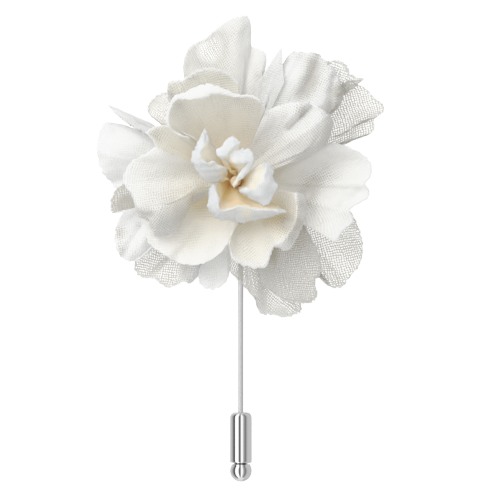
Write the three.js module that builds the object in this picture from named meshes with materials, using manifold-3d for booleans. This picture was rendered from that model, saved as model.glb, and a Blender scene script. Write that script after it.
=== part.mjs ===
// A fabric-flower boutonniere: a white muslin bloom on a stick pin, with a ball-ended clutch on the point.
// It lies on its back: +Z up out of the bloom, the pin along -Y, the origin under the middle of it all.
// Millimetres throughout.
import * as THREE from "three";
import { mergeVertices } from "three/addons/utils/BufferGeometryUtils.js";
import Module from "manifold-3d";

const wasm = await Module();
wasm.setup();

// Driving dimensions
const BLOOM = { x: -1.1, y: 15.3 }; // middle of the bloom
const CLOTH = 0.7; // thickness of a stiffened petal
const LAYER_PITCH = 1.2; // from one cut sheet to the next at the hub
const FIRST_SHEET_Z = 4.75; // middle of the rear sheet at the hub
const GAP = 0.3; // between pieces that touch

const FELT = { radius: 9, bottom: 0, top: 1 };
const GLUE = { radius: 7, bottom: FELT.top + GAP, top: 3.1 };
const PAD = { radius: 5.6, bottom: GLUE.top + GAP, top: 4.1 };
const NEEDLE = { radius: 0.6, z: 2.5, start: 5, end: -62, point: 4, flat: 0.08 };

const BARREL = { radius: 2.5, top: -52.5, bottom: -64.1, shoulder: 1.2, lip: 0.8, bore: 1.9, chamfer: 0.35 };
const MOUTH = NEEDLE.radius + GAP; // the hole that the needle enters
const GRIP = { radius: BARREL.bore - GAP, bore: MOUTH };
const BALL = { radius: 2.5, centre: -65.9, collar: 2.15, collarTop: BARREL.bottom - GAP };

// Each sheet: the radius of its uncut middle, and its petals.
// A petal: rim points [x, y, z] from the bloom's middle, counter-clockwise; reach and rise of the two control
// points of its curve from hub to rim, as shares of the way out and the way up; ribs [place along the rim,
// width as a share of the rim, height].
const REAR_SHEET = {
  name: "petals_rear_gauze",
  radius: 6.4,
  petals: [
    {
      // Right hidden
      rim: [[21, -5.5, 4.6], [24, -4, 4.4], [25, 0, 4.2], [24.5, 4, 4.4], [23, 7, 4.8], [20, 7.5, 5]],
    },
    {
      // Right upper
      rim: [
        [25.7, 8.9, 4.6], [28, 10.2, 4.4], [31.4, 11.6, 4], [31.6, 14.3, 4.4], [33.6, 16.1, 4.2],
        [33.6, 17.5, 4.4], [31.6, 19.1, 5], [29.8, 21.1, 5.2], [27.5, 22.3, 5.4], [23.6, 22, 5.6],
      ],
      ribs: [[0.4, 0.2, 0.9]],
    },
    {
      // Top right tip
      rim: [
        [23.6, 21.8, 6.4], [25.6, 22.9, 6.6], [29.1, 23.4, 6.6], [26.3, 24.4, 6.8], [25.2, 26.6, 7],
        [23.4, 27.7, 7.4], [21.1, 27.5, 7.4], [17, 26, 6.6],
      ],
    },
    {
      // Top
      rim: [
        [6.4, 23, 6], [6.7, 26.6, 6.2], [6.7, 29.3, 6.2], [5.2, 30.2, 6.4], [3.5, 31, 6.6], [3.2, 34.3, 7.4],
        [3, 37.5, 8], [1.1, 37.6, 8], [-1.6, 36.8, 7.6], [-5.2, 34.3, 6.8], [-7, 32.7, 6.4], [-10.2, 31.1, 6],
        [-11.8, 28, 5.4], [-12, 24.5, 5], [-10.5, 20, 5],
      ],
      ribs: [[0.55, 0.12, 1.2], [0.3, 0.1, -0.8]],
    },
    {
      // Upper left
      rim: [[-15.2, 20.7, 6.4], [-18, 19.8, 6.2], [-19.8, 18, 5.8], [-20.2, 16.1, 5.6], [-17.5, 13.5, 5.4]],
    },
    {
      // Left
      rim: [
        [-23.4, 12.3, 7], [-29.8, 13.4, 7.4], [-31.6, 8.4, 7], [-31.6, 6.6, 6.8], [-30.5, 2.5, 5.6],
        [-28.4, -0.2, 4.6], [-26.6, -1.8, 4.2], [-23.4, -2.5, 4.4],
      ],
      ribs: [[0.3, 0.16, 0.8], [0.62, 0.14, -0.7]],
    },
    {
      // Lower left hidden
      rim: [[-22, -3.5, 4.6], [-24, -6, 3.8], [-24.5, -10, 3], [-22.5, -13, 2.6], [-19, -14, 3.2]],
    },
    {
      // Bottom left
      rim: [
        [-20.7, -15.7, 3.4], [-23.2, -18.9, 2.6], [-22.5, -21.1, 2.2], [-20.7, -22, 2.2], [-18.9, -22, 2.6],
        [-15.7, -24.1, 3], [-11.6, -22.7, 3.2], [-10.7, -23.2, 3], [-8.4, -21.1, 3.4], [-6.8, -18, 3.8],
      ],
      ribs: [[0.62, 0.16, 0.8], [0.25, 0.12, -0.5]],
    },
    {
      // Bottom
      rim: [
        [-3, -17, 4.8], [-1.1, -20.7, 4.6], [2, -23.9, 4.2], [4.3, -27, 3.6], [5.7, -30, 3], [8, -30.2, 2.6],
        [11.6, -30.9, 2.2], [13.9, -30, 2.2], [15, -29.1, 2.4], [13.2, -25.4, 3],
      ],
      ribs: [[0.45, 0.14, 1]],
    },
    {
      // Right lower
      rim: [
        [20.5, -22.7, 3], [22, -24.1, 2.8], [24.3, -23.9, 2.8], [25.7, -22, 3], [28.4, -18.4, 3.2],
        [28.9, -13.9, 3.6], [27.5, -9.3, 4.2], [26.1, -6.6, 4.6],
      ],
      ribs: [[0.45, 0.22, 1.1]],
    },
  ],
};

const SECOND_SHEET = {
  name: "petals_second_gauze",
  radius: 5.4,
  petals: [
    {
      // Upper right
      rim: [
        [21.1, 14.8, 8.2], [23.6, 17.5, 8.4], [24.1, 20.7, 9.2], [23, 24.3, 10.2], [20.7, 27.3, 11.2],
        [18.9, 29.5, 11], [16.1, 29.5, 10.6], [13, 29.5, 11], [11.1, 28, 10.6], [9.5, 24.5, 10.2],
      ],
      reach: [0.3, 0.82],
      rise: [0.5, 1.25],
      ribs: [[0.3, 0.1, 2.2], [0.47, 0.09, -1.6], [0.12, 0.06, -0.6]],
    },
    {
      // Top spike
      rim: [[9.8, 24.8, 11], [10.3, 30, 13], [8, 27, 11.8], [6.2, 23.2, 10.6]],
    },
    {
      // Top left
      rim: [
        [0.7, 22, 13.2], [-3, 24.8, 14.2], [-6.1, 25.7, 14.6], [-8.9, 25.2, 14.4], [-12, 23.2, 13.8],
        [-15.2, 22.5, 13], [-15.5, 20.2, 12.2], [-14.8, 17.5, 11.4],
      ],
      rise: [0.1, 0.6],
    },
    {
      // Left spike
      rim: [
        [-19.3, 13.4, 9.8], [-24.3, 15.5, 10.6], [-28.9, 17.3, 11.2], [-26.1, 14.3, 10.6], [-21.1, 11.1, 9.8],
      ],
    },
    {
      // Left small
      rim: [[-25.2, -0.2, 8.2], [-27.5, -2, 7.8], [-28.6, -4.8, 7.4], [-28.2, -7, 7.2], [-25.7, -6.5, 7.6]],
    },
    {
      // Left lower
      rim: [
        [-25.7, -6.6, 7.8], [-27.3, -10.2, 7.2], [-27.5, -14.3, 6.6], [-25.7, -17.5, 6.6], [-23, -18, 7],
        [-20, -15.8, 7.4],
      ],
      ribs: [[0.5, 0.14, 1.6], [0.78, 0.1, -0.8]],
    },
    {
      // Bottom small
      rim: [
        [-8.2, -19.8, 6.6], [-8.4, -22.5, 6.2], [-7.5, -23.9, 6], [-5.2, -24.5, 5.8], [-2.5, -23, 6],
        [-1.6, -20.7, 6.4],
      ],
    },
    {
      // Right lower
      rim: [
        [6, -23.4, 6.8], [10.7, -26.8, 6.4], [14.3, -27.5, 6.2], [17, -27.5, 6.2], [18.6, -25.7, 6.6],
        [18, -23, 7.2], [19.5, -20.2, 7.4], [18.9, -16.6, 8], [17, -12.5, 8.6], [15, -9.5, 8.8],
      ],
      ribs: [[0.4, 0.2, 0.8]],
    },
    {
      // Right hidden
      rim: [[20, -9, 7.8], [22.5, -5, 7.4], [23, 0, 7.4], [22.5, 5, 7.6], [20.5, 9.5, 8]],
    },
  ],
};

const MIDDLE_SHEET = {
  name: "petals_middle",
  radius: 4.4,
  petals: [
    {
      // Right
      rim: [
        [22.5, -13.9, 13.2], [24.3, -11.1, 13.4], [26.6, -8.9, 13.2], [25.9, -6.4, 13.6], [28, -4.8, 13.2],
        [30, -3.6, 12.8], [30.2, -2, 12.8], [29.3, -0.5, 13.4], [30.5, 1.1, 13], [30.7, 3.9, 12.8],
        [29.3, 5.7, 13], [26.6, 7.3, 13.6], [23, 8.6, 14], [20.2, 8.4, 14],
      ],
      reach: [0.35, 0.7],
      rise: [0.1, 0.95],
      ribs: [[0.93, 0.07, 2], [0.78, 0.08, -1.2], [0.45, 0.1, 0.8]],
    },
    {
      // Upper right
      rim: [
        [15.7, 5.2, 14], [19.8, 8, 14.6], [21.1, 9.8, 15], [22, 13.4, 15.2], [20.2, 15.7, 15.6],
        [17, 17.5, 15.6], [13.9, 17.7, 16], [10, 17, 16.2], [6.6, 15.7, 16.2],
      ],
      reach: [0.3, 0.8],
      rise: [0.45, 1.25],
      ribs: [[0.36, 0.14, 2.8], [0.62, 0.08, -1.4]],
    },
    {
      // Top cup
      rim: [
        [6.6, 16.1, 19], [5.2, 18.4, 20.6], [3.4, 19.3, 21.4], [0.2, 19.5, 22], [-3, 20.7, 22.2],
        [-6.1, 21.6, 22.4], [-8.9, 20.9, 22.6], [-11.6, 19.8, 22.4], [-13.9, 18.9, 21.8], [-14.6, 16.1, 20.6],
        [-15.5, 13.9, 19], [-13.9, 12, 18],
      ],
      reach: [0.5, 0.98],
      rise: [-0.05, 1.2],
    },
    {
      // Upper left
      rim: [
        [-9.3, 9.8, 15], [-13.9, 12, 15.2], [-17.3, 12.6, 15.2], [-20.2, 11.1, 14.8], [-18.9, 9.5, 14.6],
        [-18, 7.7, 14.2],
      ],
      rise: [0.15, 0.8],
    },
    {
      // Left
      rim: [
        [-18, 7.8, 16], [-20.7, 6, 15.6], [-23.9, 4.3, 14.8], [-25.2, 0.2, 14.6], [-23.4, -3.4, 15],
        [-22, -7.6, 14.4], [-19.8, -9.1, 13.8], [-18.4, -12.3, 13], [-14.6, -11.2, 13.6], [-10.9, -8, 14.4],
      ],
      reach: [0.3, 0.75],
      rise: [0.6, 1.25],
      ribs: [[0.35, 0.2, 1.2], [0.68, 0.08, 1.6], [0.84, 0.08, -1]],
    },
    {
      // Lower left
      rim: [
        [-20.7, -10.2, 11], [-19.8, -13.9, 11], [-17, -16.1, 11.4], [-13.9, -18, 11.8], [-9.8, -18.9, 12.4],
        [-6.1, -18, 12.8], [-3, -15.7, 13.4], [-0.7, -11.6, 14.2], [0.5, -8.9, 14.6],
      ],
      reach: [0.35, 0.75],
      rise: [0.45, 1.15],
      ribs: [[0.33, 0.12, 0.9], [0.52, 0.1, -0.8], [0.72, 0.12, 0.6]],
    },
    {
      // Bottom
      rim: [
        [-1.6, -14.3, 16], [-0.7, -17.5, 15.2], [2, -19.1, 14.8], [6.6, -19.3, 15], [7.7, -17, 15.6],
        [8.8, -14.9, 16], [11.3, -14.7, 15.2], [13.4, -12, 16], [14.9, -8.9, 16.6], [15.4, -5.6, 17],
        [15.1, -2.8, 17.2],
      ],
      reach: [0.4, 0.85],
      rise: [0.1, 0.75],
      ribs: [[0.75, 0.1, 1]],
    },
  ],
};

const INNER_SHEET = {
  name: "petals_inner",
  radius: 3.2,
  petals: [
    {
      // Left
      rim: [
        [-7, 12, 22.8], [-8.4, 8.9, 22.2], [-9.5, 5.7, 21.8], [-9.2, 2.6, 21.4], [-8.4, 0.6, 21],
        [-6.4, -1, 20.6],
      ],
      reach: [0.25, 0.35],
      rise: [0.4, 1.15],
    },
    {
      // Lower
      rim: [
        [-6.3, -1.2, 21.6], [-6.3, -4.5, 21.6], [-5.4, -7.6, 21.4], [-2.5, -8.8, 21], [1.1, -9.3, 20.8],
        [4.8, -9.1, 20.6], [8.4, -8, 20.2], [11.4, -6.8, 19.6],
      ],
      reach: [0.25, 0.35],
      rise: [0.4, 1.15],
    },
  ],
};

const CENTRE_SHEET = {
  name: "petals_centre",
  radius: 1.3,
  petals: [
    {
      // Right curl
      rim: [
        [1.1, -2, 22.8], [5.2, -4.6, 23.2], [8, -4.6, 23.6], [8.9, -1.6, 23.8], [8, 0.7, 24],
        [6.6, 3.4, 24.2], [4.2, 6, 24.2],
      ],
      reach: [0.2, 0.3],
      rise: [0.5, 1.12],
    },
    {
      // Top hook
      rim: [
        [3.4, 4.6, 24.4], [3.5, 6.6, 24.6], [0.9, 8.9, 24.4], [-0.4, 9.5, 24.2], [-2.5, 8.4, 24],
        [-4.1, 6.4, 23.8], [-3.8, 5, 23.6],
      ],
      reach: [0.2, 0.35],
      rise: [0.5, 1.1],
    },
    {
      // Left curl
      rim: [[-2, 4.4, 21.2], [-1.8, 2.8, 21.2], [-1.9, 1.6, 21], [-2.1, 0.6, 20.8], [-2.2, -0.4, 20.6]],
      reach: [1.1, 1.4],
      rise: [0.4, 1.12],
    },
    {
      // Core
      rim: [[0.3, -2, 21.4], [1.9, 0.2, 22], [2.8, 2.6, 22.4], [2.4, 4, 22.2]],
      reach: [0.3, 0.9],
      rise: [0.4, 0.9],
    },
  ],
};

const SHEETS = [REAR_SHEET, SECOND_SHEET, MIDDLE_SHEET, INNER_SHEET, CENTRE_SHEET];

// Petal curve shares where a petal gives none of its own.
const PLAIN_REACH = [0.35, 0.75];
const PLAIN_RISE = [0.3, 0.8];
const ROOT_SUNK = 0.9; // how far a petal starts inside the edge of its sheet's middle
const STEPS_OUT = 7;
const FEW_RIM_STRETCHES = 8; // below this, each stretch between two rim points is halved
const HUB_SIDES = 24;
const DISC_SIDES = 40;
const GLUE_SIDES = 32;
const NEEDLE_SIDES = 16;
const CLUTCH_SIDES = 32;
const GRIP_SIDES = 24;
const SHOULDER_STEPS = 5;
const BALL_STEPS = 12;
const MERGE_WITHIN = 1e-4; // points this near are one point

const material = {
  cloth: new THREE.MeshStandardMaterial({ color: 0xf1efe8, roughness: 0.95, metalness: 0 }),
  creamCloth: new THREE.MeshStandardMaterial({ color: 0xe9dcc0, roughness: 0.95, metalness: 0 }),
  felt: new THREE.MeshStandardMaterial({ color: 0xf3f2ee, roughness: 1, metalness: 0 }),
  glue: new THREE.MeshStandardMaterial({ color: 0xe6e2d4, roughness: 0.5, metalness: 0 }),
  steel: new THREE.MeshStandardMaterial({ color: 0xc4c4c6, roughness: 0.25, metalness: 1 }),
  chrome: new THREE.MeshStandardMaterial({ color: 0xd6d6d8, roughness: 0.08, metalness: 1 }),
  rubber: new THREE.MeshStandardMaterial({ color: 0x2a2a2c, roughness: 0.9, metalness: 0 }),
};

// A closed geometry as a solid that can be cut and joined.
function solidOf(geometry) {
  const bare = geometry.clone();
  bare.deleteAttribute("normal");
  bare.deleteAttribute("uv");
  const merged = mergeVertices(bare, MERGE_WITHIN);
  return new wasm.Manifold(
    new wasm.Mesh({
      numProp: 3,
      vertProperties: merged.attributes.position.array,
      triVerts: new Uint32Array(merged.index.array),
    }),
  );
}

function geometryOf(solid) {
  const mesh = solid.getMesh();
  return new THREE.BufferGeometry()
    .setAttribute("position", new THREE.BufferAttribute(mesh.vertProperties, 3))
    .setIndex(new THREE.BufferAttribute(mesh.triVerts, 1));
}

// The main body alone: hollows that joining sealed are filled, and loose scraps are dropped.
function mainBody(solid) {
  return solid.decompose().reduce((main, body) => (body.volume() > main.volume() ? body : main));
}

// A flat disc standing on z = bottom.
function disc(radius, bottom, top, sides) {
  return new THREE.CylinderGeometry(radius, radius, top - bottom, sides)
    .rotateX(Math.PI / 2)
    .translate(0, 0, (bottom + top) / 2);
}

// How far the ribs lift the petal at a place along its rim: a sum of bell curves.
function ribLift(petal, along) {
  let lift = 0;
  for (const [place, width, height] of petal.ribs ?? []) {
    lift += height * Math.exp(-(((along - place) / width) ** 2));
  }
  return lift;
}

// The middle surface of a petal: for each place along the rim, a cubic curve from the hub out to the rim.
function petalGrid(petal, rootRadius, rootZ, stepsOut, stepsAcross) {
  const rim = new THREE.CatmullRomCurve3(
    petal.rim.map((point) => new THREE.Vector3(...point)),
    false,
    "centripetal",
  );
  const turn = (point) => Math.atan2(point.y, point.x);
  const startTurn = turn(rim.getPoint(0));
  let sweep = turn(rim.getPoint(1)) - startTurn;
  if (sweep < 0) sweep += 2 * Math.PI;
  const [reach1, reach2] = petal.reach ?? PLAIN_REACH;
  const [rise1, rise2] = petal.rise ?? PLAIN_RISE;
  const grid = [];
  for (let j = 0; j <= stepsAcross; j++) {
    const along = j / stepsAcross;
    const edge = rim.getPoint(along);
    const rootTurn = startTurn + sweep * along;
    const root = new THREE.Vector3(rootRadius * Math.cos(rootTurn), rootRadius * Math.sin(rootTurn), rootZ);
    const between = (reach, rise) => {
      const point = root.clone().lerp(edge, reach);
      point.z = root.z + (edge.z - root.z) * rise;
      return point;
    };
    const profile = new THREE.CubicBezierCurve3(root, between(reach1, rise1), between(reach2, rise2), edge);
    const lift = ribLift(petal, along);
    const row = [];
    for (let i = 0; i <= stepsOut; i++) {
      const out = i / stepsOut;
      const point = profile.getPoint(out);
      point.z += lift * Math.sin((Math.PI / 2) * out) ** 2;
      row.push(point);
    }
    grid.push(row);
  }
  return grid;
}

// The unit normal at a grid point, from its neighbours out and across.
function gridNormal(grid, j, i) {
  const across = grid[Math.min(j + 1, grid.length - 1)][i].clone().sub(grid[Math.max(j - 1, 0)][i]);
  const row = grid[j];
  const out = row[Math.min(i + 1, row.length - 1)].clone().sub(row[Math.max(i - 1, 0)]);
  return out.cross(across).normalize();
}

// A petal as a closed solid: its middle surface moved half the cloth's thickness each way, and its edge filled.
function petalSolid(petal, rootRadius, rootZ) {
  const stretches = petal.rim.length - 1;
  const stepsAcross = stretches < FEW_RIM_STRETCHES ? 2 * stretches : stretches;
  const grid = petalGrid(petal, rootRadius, rootZ, STEPS_OUT, stepsAcross);
  const across = grid.length;
  const out = grid[0].length;
  const positions = [];
  for (const side of [0.5, -0.5]) {
    for (let j = 0; j < across; j++) {
      for (let i = 0; i < out; i++) {
        const point = gridNormal(grid, j, i).multiplyScalar(side * CLOTH).add(grid[j][i]);
        positions.push(point.x, point.y, point.z);
      }
    }
  }
  const top = (j, i) => j * out + i;
  const under = (j, i) => across * out + j * out + i;
  const triangles = [];
  for (let j = 0; j < across - 1; j++) {
    for (let i = 0; i < out - 1; i++) {
      triangles.push(top(j, i), top(j, i + 1), top(j + 1, i + 1), top(j, i), top(j + 1, i + 1), top(j + 1, i));
      triangles.push(under(j, i), under(j + 1, i + 1), under(j, i + 1));
      triangles.push(under(j, i), under(j + 1, i), under(j + 1, i + 1));
    }
  }
  const wall = (j1, i1, j2, i2) => {
    triangles.push(top(j1, i1), under(j1, i1), under(j2, i2), top(j1, i1), under(j2, i2), top(j2, i2));
  };
  for (let i = 0; i < out - 1; i++) {
    wall(0, i, 0, i + 1);
    wall(across - 1, i + 1, across - 1, i);
  }
  for (let j = 0; j < across - 1; j++) {
    wall(j + 1, 0, j, 0);
    wall(j, out - 1, j + 1, out - 1);
  }
  return new wasm.Manifold(
    new wasm.Mesh({
      numProp: 3,
      vertProperties: new Float32Array(positions),
      triVerts: new Uint32Array(triangles),
    }),
  );
}

// One cut sheet: its uncut middle with its petals joined to it.
function sheetGeometry(sheet, index) {
  const z = FIRST_SHEET_Z + index * LAYER_PITCH;
  let joined = solidOf(disc(sheet.radius, z - CLOTH / 2, z + CLOTH / 2, HUB_SIDES));
  for (const petal of sheet.petals) {
    joined = joined.add(petalSolid(petal, sheet.radius - ROOT_SUNK, z));
  }
  return geometryOf(mainBody(joined));
}

function felt() {
  return disc(FELT.radius, FELT.bottom, FELT.top, DISC_SIDES);
}

// The bed of glue between felt and pad, with the channel that the needle lies in.
function glue() {
  const channelWidth = 2 * (NEEDLE.radius + GAP);
  const channelFloor = NEEDLE.z - NEEDLE.radius - GAP;
  const channelEnd = NEEDLE.start + GAP;
  const channel = new THREE.BoxGeometry(channelWidth, channelEnd + 2 * GLUE.radius, GLUE.top).translate(
    -BLOOM.x,
    (channelEnd - 2 * GLUE.radius) / 2,
    channelFloor + GLUE.top / 2,
  );
  const bed = solidOf(disc(GLUE.radius, GLUE.bottom, GLUE.top, GLUE_SIDES));
  return geometryOf(bed.subtract(solidOf(channel)));
}

function pad() {
  return disc(PAD.radius, PAD.bottom, PAD.top, DISC_SIDES);
}

// A shape turned about the pin's own line, from [radius, place along Y] pairs.
function turned(profile, sides) {
  return new THREE.LatheGeometry(
    profile.map(([radius, y]) => new THREE.Vector2(radius, y)),
    sides,
  );
}

function needle() {
  return turned(
    [
      [0, NEEDLE.end],
      [NEEDLE.flat, NEEDLE.end],
      [NEEDLE.radius, NEEDLE.end + NEEDLE.point],
      [NEEDLE.radius, NEEDLE.start],
      [0, NEEDLE.start],
    ],
    NEEDLE_SIDES,
  );
}

// The barrel: rounded shoulder, mouth for the needle, bore open at the ball's end.
function barrel() {
  const shoulder = [];
  for (let step = 0; step <= SHOULDER_STEPS; step++) {
    const angle = (step / SHOULDER_STEPS) * (Math.PI / 2);
    shoulder.push([
      BARREL.radius - BARREL.shoulder + BARREL.shoulder * Math.cos(angle),
      BARREL.top - BARREL.shoulder + BARREL.shoulder * Math.sin(angle),
    ]);
  }
  return turned(
    [
      [BARREL.bore, BARREL.bottom],
      [BARREL.radius - BARREL.chamfer, BARREL.bottom],
      [BARREL.radius, BARREL.bottom + BARREL.chamfer],
      ...shoulder,
      [MOUTH, BARREL.top],
      [MOUTH, BARREL.top - BARREL.lip],
      [BARREL.bore, BARREL.top - BARREL.lip],
      [BARREL.bore, BARREL.bottom],
    ],
    CLUTCH_SIDES,
  );
}

// The rubber sleeve in the barrel that holds the needle.
function grip() {
  const top = BARREL.top - BARREL.lip - GAP;
  return turned(
    [
      [GRIP.bore, NEEDLE.end],
      [GRIP.radius, NEEDLE.end],
      [GRIP.radius, top],
      [GRIP.bore, top],
      [GRIP.bore, NEEDLE.end],
    ],
    GRIP_SIDES,
  );
}

// The ball end, with the plug that closes the barrel.
function ball() {
  const start = Math.asin(Math.sqrt(1 - (BALL.collar / BALL.radius) ** 2));
  const arc = [];
  for (let step = 0; step <= BALL_STEPS; step++) {
    const angle = -Math.PI / 2 + (step / BALL_STEPS) * (start + Math.PI / 2);
    arc.push([step === 0 ? 0 : BALL.radius * Math.cos(angle), BALL.centre + BALL.radius * Math.sin(angle)]);
  }
  const plugTop = NEEDLE.end - GAP;
  const plug = [
    [BALL.collar, BALL.collarTop],
    [GRIP.radius, BALL.collarTop],
    [GRIP.radius, plugTop],
    [0, plugTop],
  ];
  return turned([...arc, ...plug], CLUTCH_SIDES);
}

function piece(name, geometry, look) {
  const mesh = new THREE.Mesh(geometry, look);
  mesh.name = name;
  return mesh;
}

const bloom = new THREE.Group();
bloom.position.set(BLOOM.x, BLOOM.y, 0);
SHEETS.forEach((sheet, index) => {
  const look = sheet === CENTRE_SHEET ? material.creamCloth : material.cloth;
  bloom.add(piece(sheet.name, sheetGeometry(sheet, index), look));
});
bloom.add(piece("felt_backing", felt(), material.felt));
bloom.add(piece("glue_bed", glue(), material.glue));
bloom.add(piece("pin_pad", pad(), material.steel));

const pin = new THREE.Group();
pin.position.set(0, BLOOM.y, NEEDLE.z);
pin.add(piece("pin_needle", needle(), material.steel));
pin.add(piece("clutch_barrel", barrel(), material.chrome));
pin.add(piece("clutch_grip", grip(), material.rubber));
pin.add(piece("clutch_ball", ball(), material.chrome));

const boutonniere = new THREE.Group();
boutonniere.add(bloom, pin);
export default boutonniere;
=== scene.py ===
"""A white fabric-flower boutonniere on a stick pin, dressed over its solid model.

Five cut sheets of muslin petals, their felt back, glue and pad, the needle and its ball-ended clutch are
made here as fine surfaces in the solid model's own frame, and in metres. The clutch's grip keeps its solid.
"""

import bpy
import numpy as np
from bpy.props import FloatProperty, FloatVectorProperty, IntProperty, PointerProperty
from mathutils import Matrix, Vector


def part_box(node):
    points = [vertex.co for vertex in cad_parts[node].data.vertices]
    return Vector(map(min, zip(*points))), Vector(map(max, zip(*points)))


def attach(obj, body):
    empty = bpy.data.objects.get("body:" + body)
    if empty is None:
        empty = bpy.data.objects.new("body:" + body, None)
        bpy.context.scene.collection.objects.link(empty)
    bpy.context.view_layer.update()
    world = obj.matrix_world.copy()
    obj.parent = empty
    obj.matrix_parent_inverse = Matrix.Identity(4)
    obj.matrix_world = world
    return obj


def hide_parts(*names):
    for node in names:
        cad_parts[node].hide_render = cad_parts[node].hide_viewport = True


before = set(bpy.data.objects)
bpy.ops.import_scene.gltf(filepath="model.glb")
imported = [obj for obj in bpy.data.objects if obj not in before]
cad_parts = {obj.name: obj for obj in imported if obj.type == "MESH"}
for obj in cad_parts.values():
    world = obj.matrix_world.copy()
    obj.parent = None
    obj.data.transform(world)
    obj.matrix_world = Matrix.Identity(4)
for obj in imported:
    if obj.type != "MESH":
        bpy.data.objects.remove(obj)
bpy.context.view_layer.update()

bl_info = {
    "name": "Boutonniere",
    "version": (1, 0, 0),
    "blender": (4, 5, 0),
    "location": "3D View > Sidebar > Boutonniere",
    "description": "A white fabric flower on a stick pin with a clutch",
    "category": "Add Mesh",
}

MM = 0.001
BLOOM_BODY = "flower_pin"
CLUTCH_BODY = "clutch"


def middle_of(node):
    """The middle of a solid's box and its low and high corners, in millimetres."""
    low, high = (np.array(corner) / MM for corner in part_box(node))
    return (low + high) / 2, low, high


BLOOM = middle_of("felt_backing")[0]
# In millimetres
SHEET_PITCH = 1.2  # from one cut sheet to the next at the middle of the bloom
FIRST_SHEET_Z = 4.75  # the height of the rear sheet's middle
ROOT_SUNK = 0.9  # how far a petal starts inside the edge of its sheet's middle

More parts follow.
